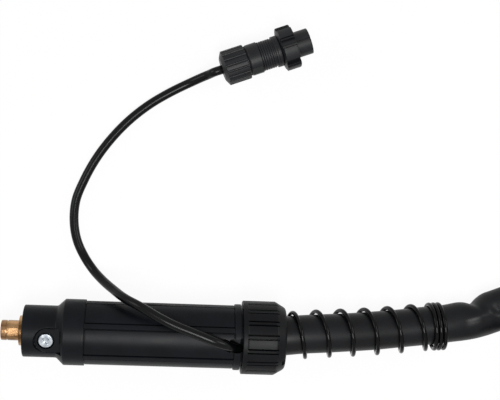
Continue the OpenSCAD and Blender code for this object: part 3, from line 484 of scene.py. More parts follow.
def pocketed(x, r, a):
    """The nose's pocket and the screw's counterbore, sunk along the screw's own direction."""
    y, z = r * np.sin(a - SCREW_TURN), r * np.cos(a - SCREW_TURN)
    nose = (x < RING_X + 10) & (z > 10) & (r > SCREW_SEAT)
    px, py, pz = sink(x, y, z, pocket_distance, POCKET_Z + POCKET_TILT * y)
    inset = -pocket_distance(px, py)
    pz = pz - POCKET_GROOVE * ramp(inset, 0.05, 0.3) * ramp(inset, 1.1, 0.8) * ramp(py, 4, -2)
    px, py, pz = sink(px, py, pz, counterbore_distance, SCREW_SEAT)
    x, y, z = np.where(nose, px, x), np.where(nose, py, y), np.where(nose, pz, z)
    return x, np.hypot(y, z), np.arctan2(y, z) + SCREW_TURN


def notch_distance(x, y):
    """Signed distance to the notch's outline: a round front end and straight sides."""
    front = np.hypot(x - NOTCH_X - NOTCH_HALF, y) - NOTCH_HALF
    return np.where(x < NOTCH_X + NOTCH_HALF, front, abs(y) - NOTCH_HALF)


def notched(x, r, a):
    """A round channel along the lead, and the notch that opens to the rear."""
    y, z = r * np.sin(a - NOTCH_TURN), r * np.cos(a - NOTCH_TURN)
    near = np.array([p for p in lead_path / MM if 120 < p[0] < REAR_X + 3 and p[2] > 0])
    near = near[np.argsort(near[:, 0])]
    lead_y = -near[:, 1] * math.cos(NOTCH_TURN) - near[:, 2] * math.sin(NOTCH_TURN)
    lead_z = -near[:, 1] * math.sin(NOTCH_TURN) + near[:, 2] * math.cos(NOTCH_TURN)

    def way_distance(x, y):
        """Signed distance to the channel's outline, which follows the lead up to the notch."""
        return np.maximum(abs(y - np.interp(x, near[:, 0], lead_y)) - LEAD_WAY, x - NOTCH_X - 2)

    across = np.clip(way_distance(x, y) + LEAD_WAY, 0, LEAD_WAY)
    channel = np.interp(x, near[:, 0], lead_z) - np.sqrt(LEAD_WAY**2 - across**2)
    rear = (x > 122) & (x < REAR_X + 0.01) & (z > 5) & (r > SPIGOT_R - 0.1)
    sunk = sink(*sink(x, y, z, way_distance, channel, 0.2, 0.15), notch_distance, NOTCH_FLOOR)
    x, y, z = [np.where(rear, new, old) for new, old in zip(sunk, (x, y, z))]
    return x, np.hypot(y, z), np.arctan2(y, z) + NOTCH_TURN


def housing_piece():
    """Rings along the outline, with extra columns at the ribs, the pocket and the notch."""
    gap_r, plain_from, plain_to = PANEL_R - GAP_DEPTH, 60, 120
    nose = rounded([
        (NOSE_X, BORE_R), (NOSE_X, NOSE_R), (CONE_X, NOSE_R), (RING_X, RING_R),
        (RING_X + 0.7, RING_R)], 0.9, 6)
    ring = rounded([
        (RING_X + 0.7, RING_R), (PANEL_X, RING_R), (PANEL_X, gap_r), (PANEL_X + GAP_W, gap_r),
        (PANEL_X + GAP_W, PANEL_R), (plain_from, PANEL_R)], 0.25)
    rear = rounded([
        (plain_to, PANEL_R), (COLLAR_X - GAP_W, PANEL_R), (COLLAR_X - GAP_W, gap_r), (COLLAR_X, gap_r),
        (COLLAR_X, COLLAR_R - 0.3), (COLLAR_X + 0.5, COLLAR_R), (REAR_X, COLLAR_R),
        (REAR_X, SPIGOT_R)], 0.25)
    spigot = rounded([
        (REAR_X, SPIGOT_R), (SPIGOT_X, SPIGOT_R), (SPIGOT_X, MOUTH_BORE_R), (MOUTH_X, MOUTH_BORE_R),
        (MOUTH_X, BORE_R)], 0.4)
    outline = np.vstack([spaced(nose, 0.32), spaced(ring, 1.2)[1:], spaced(rear, 0.32), spigot[1:]])
    marks = np.array([
        RIB_W / 2 - 0.15, RIB_W / 2, RIB_W / 2 + 0.12, RIB_W / 2 + GROOVE_W - 0.12,
        RIB_W / 2 + GROOVE_W]) / PANEL_R
    fine = SCREW_TURN + np.radians(np.arange(-34, 34.1, 1.0))
    x, a = np.meshgrid(outline[:, 0], columns(96, spread(RIBS, RIB_TURN), marks, fine), indexing="ij")
    r = np.repeat(outline[:, 1:], a.shape[1], 1)
    x, r, a = notched(*pocketed(x, panelled(x, r, a), a))
    return creased(grid_mesh("housing_skin", around(PLUG, x, r, a), "loop"), 38)


housing_plastic = moulded(
    "housing_black", (0.002, 0.0024, 0.0034), (0.0034, 0.0041, 0.0058), (0.36, 0.43),
    1400, 0.008, gloss=0.1)
stands_for(housing_piece(), housing_plastic, "housing")


# ---- plug: current pin ----
# Turned brass with a locating pad milled on its upper side. It is screwed into the brass
# body inside the nose, which the power cable's crimped ferrule sits on.

PIN_R, PIN_BORE, PIN_TIP, FLANGE_R, FLANGE_X = 6.5, 2.55, -11.2, 9.65, 0.5
PAD_TURN, PAD_X, PAD_HALF, PAD_H = math.radians(11), -6.8, 3.4, 0.9
PAD_FLAT, PAD_FLAT_TURN, PAD_GAP, PAD_GAP_DEPTH = PIN_R + 0.4, math.radians(4), 0.8, 0.4
LINE_TURN, LINE_HALF, LINE_FLOOR, LINE_DEPTH = math.radians(4), 0.16, 0.06, 0.14


def turned(node, place, outline, angles, material, form=None, body="torch"):
    """A hollow skin for a solid, turned from a closed outline of (along, radius).

    form(x, r, a) changes the radius.
    """
    x, a = np.meshgrid(outline[:, 0], angles, indexing="ij")
    r = np.repeat(outline[:, 1:], len(angles), 1)
    r = form(x, r, a) if form else r
    piece = creased(grid_mesh(node + "_skin", around(place, x, r, a), "loop"), 32)
    return stands_for(piece, material, node, body=body)


def turned_group(turn):
    """Turned metal: fine rings across an axis that lies `turn` away from +X, and slow colour streaks along
    it that are partly tarnish and partly painted reflection.
    """
    group = GRAIN.copy()
    group.name = "turned_metal"
    where = next(n for n in group.nodes if n.bl_idname == "ShaderNodeTexCoord")
    fine, slow = [n for n in group.nodes if n.bl_idname == "ShaderNodeTexNoise"]
    # the fine grain is drawn out round the axis, and the slow streaks along it, partly tarnish and partly
    # painted reflection bands
    for noise, scale in ((fine, (1.0, 0.02, 0.02)), (slow, (0.35, 1.0, 1.0))):
        lay = put(group, "ShaderNodeMapping", rotation=(0, 0, -turn), scale=scale)
        wire(group, (where, "Object", lay, "Vector"), (lay, 0, noise, "Vector"))
    return group


def pin_form(x, r, a):
    """The flat-topped locating pad behind the front land, and a hair line along the land."""
    s = nearest(a, 1, PAD_TURN) * PIN_R
    pad = ramp(abs(s), PAD_HALF + 0.1, PAD_HALF - 0.25) * ramp(x, PAD_X - 0.05, PAD_X + 0.2)
    pad = pad * (x < FLANGE_X + 0.05)
    line = ramp(abs(nearest(a, 1, LINE_TURN) * PIN_R), LINE_HALF, LINE_FLOOR)
    line = line * (x > PIN_TIP + 0.5) * (x < PAD_X - PAD_GAP)
    flat = PAD_FLAT / np.cos(np.clip(nearest(a, 1, PAD_FLAT_TURN), -1, 1))
    top = np.minimum(flat, PIN_R + PAD_H) - PIN_R
    return r + np.where((r > PIN_R - 0.45) & (r < PIN_R + 0.1), top * pad - LINE_DEPTH * line, 0)


def machined(name, dark, light, rough, group, fine=2600, depth=0.006, slow=150):
    """Bare or plated metal with a group's marks and slow colour streaks, partly tarnish and partly painted
    reflection.
    """
    return moulded(name, dark, light, rough, fine, depth, slow, 0.5, group, 1.0)


pad_gap_r = PIN_R - PAD_GAP_DEPTH
pin_outline = rounded([
    (NOSE_X, PIN_BORE), (NOSE_X, FLANGE_R), (FLANGE_X, FLANGE_R), (FLANGE_X, PIN_R), (PAD_X, PIN_R),
    (PAD_X, pad_gap_r), (PAD_X - PAD_GAP, pad_gap_r), (PAD_X - PAD_GAP, PIN_R), (PIN_TIP + 0.5, PIN_R),
    (PIN_TIP, PIN_R - 0.5), (PIN_TIP, PIN_BORE)], 0.18)
pin_marks = np.array([PAD_HALF - 0.25, PAD_HALF - 0.1, PAD_HALF, PAD_HALF + 0.1]) / PIN_R
line_columns = LINE_TURN + np.array([-LINE_HALF, -LINE_FLOOR, LINE_FLOOR, LINE_HALF]) / PIN_R
turned_metal = turned_group(0.0)
# the brass's two colours lie far apart, so that its slow streaks paint in the dark and bright reflection
# bands of a turned pin
brass = machined("brass", (0.09, 0.045, 0.018), (0.50, 0.30, 0.15), (0.20, 0.28), turned_metal)
turned("current_pin", PLUG, spaced(pin_outline, 0.6), columns(120, [PAD_TURN], pin_marks, line_columns),
       brass, pin_form)
copper = machined("copper", (0.34, 0.13, 0.07), (0.66, 0.33, 0.20), (0.26, 0.40), turned_metal)
liner_steel = machined(
    "liner_steel", (0.25, 0.25, 0.26), (0.42, 0.42, 0.43), (0.35, 0.5), turned_metal, depth=0.01,
    slow=300)
cable_rubber = moulded("cable_rubber", (0.016, 0.012, 0.010), (0.028, 0.022, 0.019), (0.55, 0.7))
dark_plastic = moulded("dark_plastic", (0.0035, 0.0035, 0.0037), (0.006, 0.006, 0.0065), (0.5, 0.6))
for node, finish in (("connection_body", brass), ("crimp_ferrule", copper), ("wire_liner", liner_steel),
                     ("power_cable_end", cable_rubber), ("lead_anchor", cable_rubber),
                     ("spring_carrier", dark_plastic)):
    dress(nodes[node], finish)


# ---- plug: nose screw ----
# Zinc plated steel with a low domed head and a cross recess. It sits in the pocket's
# counterbore and clamps the brass body in the nose.

CROSS_TURN, CROSS_HALF, CROSS_ARM, CROSS_DEPTH = math.radians(45), 0.7, 2.6, 0.9
DOME_R, DOME_H, RIM_H, SIDE_H, HEAD_H = 4.2, 0.16, 0.7, 1.6, 2.4


def screw_piece():
    """A domed head with a rounded rim and a tapering cross recess, seen along the screw's axis."""
    turn = np.linspace(0.15, math.pi / 2, 7)
    dome = np.linspace(0.02, DOME_R, 46)
    rim = DOME_R + (SCREW_HEAD_R - DOME_R) * np.sin(turn)
    q = np.concatenate([dome, rim, [SCREW_HEAD_R, SCREW_HEAD_R]])
    drop = np.concatenate([
        DOME_H * (dome / DOME_R)**2, DOME_H + RIM_H * (1 - np.cos(turn)), [SIDE_H, HEAD_H]])
    q, t = np.meshgrid(q, spread(128), indexing="ij")
    u, v = abs(q * np.cos(t - CROSS_TURN)), abs(q * np.sin(t - CROSS_TURN))
    wide, tip = CROSS_HALF + 0.1, CROSS_ARM
    arm = np.maximum(
        ramp(u, wide, wide - 0.22) * ramp(v, tip + 0.1, tip - 0.5),
        ramp(v, wide, wide - 0.22) * ramp(u, tip + 0.1, tip - 0.5))
    z = SCREW_SEAT + HEAD_H - drop[:, None] - CROSS_DEPTH * arm * ramp(q, 3.4, 0.6)**0.5
    x, y = SCREW_X + q * np.cos(t), q * np.sin(t)
    rings = around(PLUG, x, np.hypot(y, z), np.arctan2(y, z) + SCREW_TURN)
    return creased(grid_mesh("nose_screw_head", rings), 50)


zinc = machined("zinc", (0.26, 0.28, 0.31), (0.50, 0.54, 0.57), (0.32, 0.42), GRAIN, 1800, slow=330)
stands_for(screw_piece(), zinc, "nose_screw")


# ---- plug: collar nut ----
# Moulded nut that holds the spring's carrier on the spigot. Ribs lie between pairs of narrow
# grooves that run out in its rear chamfer, and a small slot sits in the rear edge.

NUT_X, NUT_END, NUT_R, NUT_FACE_R, NUT_HOLE_R, NUT_WALL_X = 143.6, 171.6, 23.8, 20.4, 17.4, 165.4
NUT_RIBS, NUT_RIB_TURN, NUT_RIB_W, NUT_GROOVE_W, NUT_RIB_H = 16, math.radians(-6.5), 1.8, 0.95, 0.3
NUT_GROOVE_R, NUT_GROOVE_X, NUT_GROOVE_END, NUT_CHAMFER = 21.4, NUT_X + 3, NUT_X + 23, 6.8
MARK_TURN, MARK_HALF, MARK_X = math.radians(43), 2.2, NUT_END - 2.2


def nut_form(x, r, a):
    """Lands sunk between the ribs, grooves on both sides of each rib, and the small slot."""
    s = abs(nearest(a, NUT_RIBS, NUT_RIB_TURN)) * NUT_R
    beside = ramp(abs(s - (NUT_RIB_W + NUT_GROOVE_W) / 2), NUT_GROOVE_W / 2, NUT_GROOVE_W / 2 - 0.16)
    begun = ramp(x, NUT_GROOVE_X, NUT_GROOVE_X + 0.4)
    deep = beside * begun * ramp(x, NUT_GROOVE_END, NUT_GROOVE_END - 0.6)
    land = ramp(s, NUT_RIB_W / 2 - 0.2, NUT_RIB_W / 2) * begun
    land = land * ramp(x, NUT_GROOVE_END - 1, NUT_GROOVE_END - 2)
    r = np.where(r > NUT_FACE_R, r - NUT_RIB_H * land - deep * np.clip(r - NUT_GROOVE_R, 0, None), r)
    mark = ramp(abs(nearest(a, 1, MARK_TURN)) * NUT_FACE_R, MARK_HALF, MARK_HALF - 0.2)
    mark = mark * ramp(x, MARK_X - 0.1, MARK_X + 0.1)
    return np.where(r > NUT_HOLE_R + 1.4, r - mark * np.clip(r - NUT_FACE_R + 1, 0, None), r)


nut_outline = rounded([
    (NUT_X, SPIGOT_R + 0.1), (NUT_X, NUT_R), (NUT_END - NUT_CHAMFER, NUT_R), (NUT_END - 1, NUT_FACE_R),
    (NUT_END, NUT_FACE_R - 1), (NUT_END, NUT_HOLE_R), (NUT_WALL_X, NUT_HOLE_R),
    (NUT_WALL_X, SPIGOT_R + 0.1)], 0.45)
nut_marks = np.array([
    NUT_RIB_W / 2 - 0.2, NUT_RIB_W / 2, NUT_RIB_W / 2 + 0.16, NUT_RIB_W / 2 + NUT_GROOVE_W - 0.16,
    NUT_RIB_W / 2 + NUT_GROOVE_W]) / NUT_R
nut_spots = spread(NUT_RIBS, NUT_RIB_TURN)
mark_columns = MARK_TURN + np.array([-1, -0.9, 0.9, 1]) * MARK_HALF / NUT_FACE_R
nut_plastic = moulded(
    "nut_black", (0.0024, 0.0026, 0.0031), (0.004, 0.0044, 0.0052), (0.38, 0.46), 1400, 0.010, gloss=0.1)
turned("collar_nut", PLUG, spaced(nut_outline, 0.4), columns(128, nut_spots, nut_marks, mark_columns),
       nut_plastic, nut_form, "collar_nut")


# ---- connector: clamp nut ----
# Moulded nut with narrow flutes between nearly flat lands. It is screwed on the barrel's
# neck and squeezes the rubber seal on the lead.

CONNECTOR = (conn_pos, conn_dir)
CLAMP_R, CLAMP_X, CLAMP_END, FLUTES, FLUTE_R = 11.6, 3.0, 20.0, 18, 0.85
NECK_R, NECK_LEN, NECK_BORE_R, SEAL_X, LEAD_HOLE_R = 9.2, 9.1, 8.0, 4.5, 3.3


def clamp_form(x, r, a):
    """Nearly flat lands with a narrow round flute between each two."""
    s = nearest(a, FLUTES) * CLAMP_R
    land = abs(nearest(a, FLUTES, math.pi / FLUTES))
    flat = CLAMP_R * (1 - 0.5 * (1 - np.cos(land)))
    flute = CLAMP_R + 0.2 - np.sqrt(np.clip(FLUTE_R**2 - s * s, 0.01, None))
    flute = np.where(abs(s) < FLUTE_R - 0.03, flute, 99)
    return np.where(r > NECK_R + 0.3, np.minimum(r, np.minimum(flat, flute)), r)


clamp_outline = rounded([
    (CLAMP_X, LEAD_HOLE_R), (CLAMP_X, CLAMP_R - 4), (CLAMP_X + 0.6, CLAMP_R - 2.8),
    (CLAMP_X + 2.1, CLAMP_R), (CLAMP_END - 0.4, CLAMP_R), (CLAMP_END, CLAMP_R - 0.4),
    (CLAMP_END, NECK_R + 0.1), (SEAL_X, NECK_R + 0.1), (SEAL_X, LEAD_HOLE_R)], 0.3)
flute_marks = np.array([0.3, 0.55, 0.74, 0.84, 1.1]) / CLAMP_R
clamp_angles = columns(FLUTES * 6, spread(FLUTES), flute_marks)
connector_plastic = moulded(
    "connector_black", (0.0034, 0.0037, 0.0045), (0.0062, 0.0067, 0.008), (0.38, 0.48),
    1500, 0.012, gloss=0.22)
clamp_nut = turned(
    "clamp_nut", CONNECTOR, spaced(clamp_outline, 0.5), clamp_angles, connector_plastic, clamp_form,
    "clamp_nut")
seal_rubber = moulded("seal_rubber", (0.004, 0.004, 0.004), (0.007, 0.007, 0.007), (0.5, 0.62))
dress(nodes["gland_seal"], seal_rubber)


# ---- connector: barrel ----
# Moulded barrel with two wrench flats, six fine grip rings and a shoulder at its front. Its
# thin neck holds the seal and carries the clamp nut.

BARREL_R, BARREL_X, BARREL_WIDE_X = 10.4, CLAMP_END + 0.6, CLAMP_END + 1.8
FLAT_TURN, FLAT_AT, FLAT_END = math.radians(57), BARREL_R - 0.45, 28.6
GRIP_RINGS, GRIP_X, GRIP_STEP, GRIP_R, GRIP_DEPTH = 6, 29.6, 1.5, 9.8, 0.45
SHOULDER_X, BARREL_END = 39.3, 40.7


def barrel_form(x, r, a):
    """Two flats between the barrel's rear edge and its rings."""
    flat = FLAT_AT / np.cos(np.clip(nearest(a, 2, FLAT_TURN), -0.5, 0.5))
    across = (x > BARREL_WIDE_X - 0.4) & (x < FLAT_END) & (r > NECK_R)
    return np.where(across, np.minimum(r, flat), r)


grip = [(GRIP_X + GRIP_STEP * i + dx, GRIP_R - dr)
        for i in range(GRIP_RINGS) for dx, dr in ((0, 0), (0.85, 0), (1.05, GRIP_DEPTH), (1.35, GRIP_DEPTH))]
neck_x = BARREL_X - NECK_LEN
barrel_outline = rounded([
    (neck_x, NECK_BORE_R), (neck_x, NECK_R), (BARREL_X, NECK_R), (BARREL_X, BARREL_R - 0.6),
    (BARREL_WIDE_X, BARREL_R), (FLAT_END, BARREL_R), (GRIP_X - 0.6, BARREL_R),
    (GRIP_X - 0.2, GRIP_R - GRIP_DEPTH), *grip, (SHOULDER_X - 0.2, GRIP_R - GRIP_DEPTH),
    (SHOULDER_X, BARREL_R), (BARREL_END, BARREL_R), (BARREL_END, NECK_BORE_R)], 0.14, 3)
barrel = turned(
    "connector_barrel", CONNECTOR, spaced(barrel_outline, 0.9), columns(144), connector_plastic,
    barrel_form)


# ---- connector: coupling ring ----
# Moulded ring with six broad lobes, stepped gaps between them, and a thin line at each
# lobe's foot. It is captive and turns on the front shell.

RING_AT, RING_END, LOBE_R, LOBES, LOBE_TURN = 43.2, 53.8, 14.6, 6, math.radians(20)
STEP_HALF, STEP_DEPTH, SLOT_HALF, SLOT_DEPTH, FOOT_W = 3.8, 0.8, 2.1, 3.1, 0.5
BEARING_R = 8.95


def lobed(x, r, a):
    """Steps beside the lobes with a fine groove at the foot, and a deeper slot between the steps."""
    s = abs(nearest(a, LOBES, LOBE_TURN + math.pi / LOBES)) * LOBE_R
    step = ramp(s, STEP_HALF, STEP_HALF - 0.2) * ramp(x, RING_AT + 0.6, RING_AT + 0.9)
    foot = ramp(s, STEP_HALF, STEP_HALF - 0.2) * ramp(s, STEP_HALF - FOOT_W, STEP_HALF - FOOT_W + 0.15)
    slot = ramp(s, SLOT_HALF + 0.1, SLOT_HALF - 0.15) * ramp(x, RING_AT + 0.8, RING_AT + 1.1)
    low = r - step * np.clip(r - (LOBE_R - STEP_DEPTH - 0.5 * foot), 0, None)
    low = low - slot * np.clip(low - (LOBE_R - SLOT_DEPTH), 0, None)
    return np.where(r > BEARING_R + 1, low, r)


ring_outline = rounded([
    (RING_AT, BEARING_R + 0.1), (RING_AT, LOBE_R - 4), (RING_AT + 1.1, LOBE_R),
    (RING_END - 0.5, LOBE_R), (RING_END, LOBE_R - 0.5),
    (RING_END, BEARING_R + 0.1)], 0.35)
lobe_marks = np.array([
    SLOT_HALF - 0.15, SLOT_HALF, SLOT_HALF + 0.1, STEP_HALF - FOOT_W, STEP_HALF - FOOT_W + 0.15,
    STEP_HALF - 0.2, STEP_HALF]) / LOBE_R
gaps = spread(LOBES, LOBE_TURN + math.pi / LOBES)
ring = turned(
    "coupling_ring", CONNECTOR, spaced(ring_outline, 0.5), columns(120, gaps, lobe_marks),
    connector_plastic, lobed, "coupling_ring")


# ---- connector: front shell ----
# Moulded shell with a flat end and a keyway along it. It is fixed in the barrel's front and
# carries the insert with its brass contacts.

SHELL_R, SHELL_BORE, SHELL_X, SHELL_END = 8.65, 7.15, RING_END + 0.2, 64.0
KEY_TURN, KEY_HALF, KEY_DEPTH = math.radians(-6), 0.6, 0.6


def keyed(x, r, a):
    """The keyway along the nose."""
    key = ramp(abs(nearest(a, 1, KEY_TURN)) * SHELL_R, KEY_HALF, KEY_HALF - 0.12) * (x > SHELL_X + 0.4)
    return np.where(r > SHELL_R - 0.5, r - KEY_DEPTH * key, r)


shell_outline = rounded([
    (BARREL_END, SHELL_BORE), (BARREL_END, BARREL_R), (RING_AT - 0.3, BARREL_R),
    (RING_AT - 0.3, BEARING_R), (SHELL_X, BEARING_R), (SHELL_X, SHELL_R), (SHELL_END, SHELL_R),
    (SHELL_END, SHELL_BORE)], 0.3)
key_marks = np.array([KEY_HALF - 0.12, KEY_HALF]) / SHELL_R
shell = turned(
    "front_shell", CONNECTOR, spaced(shell_outline, 0.9), columns(128, [KEY_TURN], key_marks),
    connector_plastic, keyed)
dress(nodes["contact_insert"], dark_plastic)
dress(nodes["contacts"], brass)


# ---- handle: shells ----
# Two moulded halves with a waist and flattened flanks, screwed together. They hold the cable's
# brass joint, the switch and the neck, and the trigger sits in a slot on the +Y side.

HANDLE = (np.array([318.0, -216.5, -8.8]), np.array([-1.0, 0, 0]))
GRIP_LEN, GRIP_R, GRIP_WAVE, GRIP_PEAK, GRIP_PERIOD, GRIP_FLAT = 132, 16.9, 1.4, 30, 125, 15.0
GRIP_BORE, GRIP_REAR, GRIP_NECK, HALF_GAP = 12.6, 12.45, 9.6, 0.05
TRIGGER_SLOT, TRIGGER_SLOT_HALF = (68.0, 118.5), 5.2
SCREW_SPOTS, SCREW_INSET, SCREW_WAY, SCREW_FLOOR = (24.0, 126.0), 3.3, 3.1, 2.6


def grip_radius(x):
    """The handle's waist: a wave along its length, with rounded ends."""
    wave = GRIP_R + GRIP_WAVE * np.cos(2 * math.pi * (x - GRIP_PEAK) / GRIP_PERIOD)
    rear, front = [edge - np.sqrt(edge**2 - np.clip(past, 0, edge)**2)
                   for edge, past in ((2.5, 2.5 - x), (3.5, x - GRIP_LEN + 3.5))]
    return wave - rear - front


def screw_way_distance(x, y):
    """Signed distance to the nearest of the four round screw ways."""
    ways = [np.hypot(x - at, abs(y) - grip_radius(np.array(at)) + SCREW_INSET) for at in SCREW_SPOTS]
    return np.minimum(*ways) - SCREW_WAY


def handle_half(name, upper):
    """One half as rings along the handle: out over the flank, and back along the hollow.

    The flank is a circle whose top is pressed flat, its edge rises beside the trigger's slot,
    and a fine chamfer marks the parting line.
    """
    x = np.concatenate([
        [0, 0.1, 0.4, 0.9, 1.6], np.arange(2.5, GRIP_LEN - 3.5, 0.75),
        GRIP_LEN - np.array([3.5, 2.6, 1.8, 1.1, 0.5, 0.15, 0])])
    start, stop = TRIGGER_SLOT
    slot = ramp(x, start - 0.2, start + 0.2) * ramp(x, stop + 0.2, stop - 0.2)
    edge = HALF_GAP + (TRIGGER_SLOT_HALF - HALF_GAP) * slot
    hollow = np.where(x < 5, GRIP_REAR, np.where(x > GRIP_LEN - 5, GRIP_NECK, GRIP_BORE))
    t = np.linspace(0, 1, 90)[None, :]
    outer, inner = [np.arccos(edge / r)[:, None] * (1 - t) - np.arccos(HALF_GAP / r)[:, None] * t
                    for r in (grip_radius(x), hollow)]
    y, z = [grip_radius(x)[:, None] * turn(outer) for turn in (np.sin, np.cos)]
    z = np.where(z > GRIP_FLAT - 1, GRIP_FLAT - np.exp(-np.clip(z - GRIP_FLAT + 1, 0, None)), z)
    y = y * (1 - 0.022 * bell(z, edge[:, None], 0.35))
    along = np.repeat(x[:, None], t.size, 1)
    if upper:
        along, y, z = sink(along, y, z, screw_way_distance, SCREW_FLOOR)
    along = np.hstack([along, np.repeat(x[:, None], t.size, 1)])
    y, z = [np.hstack([out, (hollow[:, None] * turn(inner))[:, ::-1]])
            for out, turn in ((y, np.sin), (z, np.cos))]
    z = z if upper else -z
    return creased(grid_mesh(name, around(HANDLE, along, np.hypot(y, z), np.arctan2(y, z)), "strips"), 40)


handle_plastic = moulded(
    "handle_black", (0.0045, 0.0045, 0.0048), (0.0085, 0.0085, 0.009), (0.48, 0.60), 1000, 0.05)
upper_half = stands_for(handle_half("handle_left_skin", True), handle_plastic, "handle_left_shell")
lower_half = stands_for(handle_half("handle_right_skin", False), handle_plastic, "handle_right_shell")
dress(nodes["handle_screws"], zinc)
dress(nodes["handle_cable_end"], cable_rubber)
dress(nodes["cable_joint"], brass)


# ---- handle: strain relief ----
# A tapered rubber sleeve with four shallow grooves, where the hose goes into the handle. The
# handle's two halves hold its front end.

RELIEF_X, RELIEF_R, RELIEF_END_R, RELIEF_TAPER = -28.0, 13.25, 15.4, 0.089
RELIEF_GROOVES, RELIEF_FIRST, RELIEF_STEP, RELIEF_DEPTH = 4, 4, 4.6, 0.45


grooves = [(RELIEF_FIRST + RELIEF_STEP * i + past, drop) for i in range(RELIEF_GROOVES)
           for past, drop in ((0, 0), (0.5, RELIEF_DEPTH), (1.5, RELIEF_DEPTH), (2.0, 0))]
relief_outline = rounded(
    [(RELIEF_X, GRIP_REAR), (RELIEF_X, RELIEF_R)]
    + [(RELIEF_X + at, RELIEF_R + RELIEF_TAPER * at - drop) for at, drop in grooves]
    + [(-4, RELIEF_END_R), (-0.1, RELIEF_END_R), (-0.1, GRIP_REAR)], 0.3)
relief = turned("handle_gland", HANDLE, spaced(relief_outline, 1.0), columns(72), seal_rubber)


# ---- handle: trigger ----
# A moulded lever that turns on a steel pin between the handle's halves. Its nub presses the
# white button of a small red switch.

def softened(node, name, width):
    """A copy of a solid whose sharp edges are bevelled, with its doubled points merged first."""
    mesh = nodes[node].data.copy()
    mesh.name = name
    solid = bmesh.new()
    solid.from_mesh(mesh)
    bmesh.ops.remove_doubles(solid, verts=solid.verts, dist=0.002 * MM)
    bmesh.ops.dissolve_limit(solid, angle_limit=math.radians(1), verts=solid.verts, edges=solid.edges)
    solid.to_mesh(mesh)
    solid.free()
    mesh.polygons.foreach_set("use_smooth", [True] * len(mesh.polygons))
    piece = placed(name, mesh)
    bevel = piece.modifiers.new("edges", "BEVEL")
    bevel.width, bevel.segments, bevel.harden_normals = width * MM, 3, True
    bevel.limit_method, bevel.angle_limit = "ANGLE", math.radians(35)
    return piece


trigger_plastic = moulded("trigger_black", (0.0035, 0.0035, 0.0038), (0.006, 0.006, 0.0066), (0.34, 0.44))
stands_for(softened("trigger", "trigger_skin", 0.35), trigger_plastic, "trigger", body="trigger")
dress(nodes["trigger_pin"], zinc)
dress(nodes["switch_body"],
      moulded("switch_red", (0.32, 0.02, 0.015), (0.48, 0.04, 0.03), (0.3, 0.4), gloss=0.4))
dress(nodes["switch_button"],
      moulded("button_white", (0.68, 0.68, 0.66), (0.8, 0.8, 0.78), (0.3, 0.4), gloss=0.4))


# ---- neck: nut and insulation ----
# A fluted moulded nut holds the neck in the handle. The neck is a bent copper tube in a
# moulded rubber sleeve.

NECK_OUT_R, NECK_CORE_R, BEND_X, BEND_R, BEND = 9.5, 6.3, 170.0, 60.0, math.radians(45)
NECK_NUT_X, NECK_NUT_R, NECK_FLUTES, NECK_FLUTE_R = GRIP_LEN + 0.2, 13.1, 12, 1.1
NECK_NUT_CONE_X, NECK_NUT_END, NECK_NUT_DROP = NECK_NUT_X + 9.8, NECK_NUT_X + 12.8, 2.4
SLEEVE_IN, SLEEVE_END, SLEEVE_EDGE = 10, 16.0, 0.6


def fluted(x, r, a):
    """Round flutes that run out in the front chamfer."""
    s = nearest(a, NECK_FLUTES) * NECK_NUT_R
    flute = NECK_NUT_R + 0.4 - np.sqrt(np.clip(NECK_FLUTE_R**2 - s * s, 0, None))
    cut = (abs(s) < NECK_FLUTE_R - 0.02) & (x > NECK_NUT_X + 1.8) & (r > NECK_OUT_R + 1)
    return np.where(cut, np.minimum(r, flute), r)


neck_nut_outline = rounded([
    (NECK_NUT_X, NECK_OUT_R + 0.1), (NECK_NUT_X, NECK_NUT_R - 0.8), (NECK_NUT_X + 0.8, NECK_NUT_R),
    (NECK_NUT_CONE_X, NECK_NUT_R), (NECK_NUT_END, NECK_NUT_R - NECK_NUT_DROP),
    (NECK_NUT_END, NECK_OUT_R + 0.1)], 0.4)
neck_nut_angles = columns(96, spread(NECK_FLUTES), np.array([0.3, 0.6, 0.85, 1.0, 1.08]) / NECK_NUT_R)
turned("neck_nut", HANDLE, spaced(neck_nut_outline, 0.6), neck_nut_angles, nut_plastic, fluted)


def neck_point(x, y):
    """A point of the neck's plane, from the handle's rear: forward, and sideways towards +Y."""
    origin, forward = HANDLE
    return origin + x * forward + y * np.array([0, 1.0, 0])


def bend_point(turn):
    """A point of the neck's bend, after a turn through an angle."""
    return neck_point(BEND_X + BEND_R * math.sin(turn), BEND_R * (1 - math.cos(turn)))


def neck_path(start, past):
    """Straight out of the handle, round the bend, and straight on for a distance past it."""
    origin, onward = NECK_END
    return MM * np.array([neck_point(x, 0) for x in np.arange(start, BEND_X, 3)]
                         + [bend_point(t) for t in np.linspace(0, BEND, 40)]
                         + [origin + q * onward for q in np.linspace(1, past, 12)])


def sleeve_radius(s, a):
    """The moulded sleeve: round, with a quarter circle at the edge of each end."""
    full = (BEND_X - GRIP_LEN + SLEEVE_IN + BEND_R * BEND + SLEEVE_END) * MM
    ends = np.minimum(s, full - s) / MM
    edge = SLEEVE_EDGE - np.sqrt(SLEEVE_EDGE**2 - np.clip(SLEEVE_EDGE - ends, 0, SLEEVE_EDGE)**2)
    return MM * (NECK_OUT_R - edge)


NECK_END = bend_point(BEND), np.array([-math.cos(BEND), math.sin(BEND), 0])
neck_rubber = moulded(
    "neck_black", (0.004, 0.004, 0.0042), (0.007, 0.007, 0.0074), (0.45, 0.58), 800, 0.03)
stands_for(tube("neck_insulation_skin", neck_path(GRIP_LEN - SLEEVE_IN, SLEEVE_END), sleeve_radius, 72,
                bore=NECK_CORE_R * MM), neck_rubber, "neck_insulation")
dress(nodes["neck_tube"], copper)


# ---- neck: gas nozzle and contact tip ----
# A nickel plated copper nozzle pushed over a spring clip, with the copper contact tip on its
# brass holder, a ceramic gas diffuser and a phenolic insulator inside.

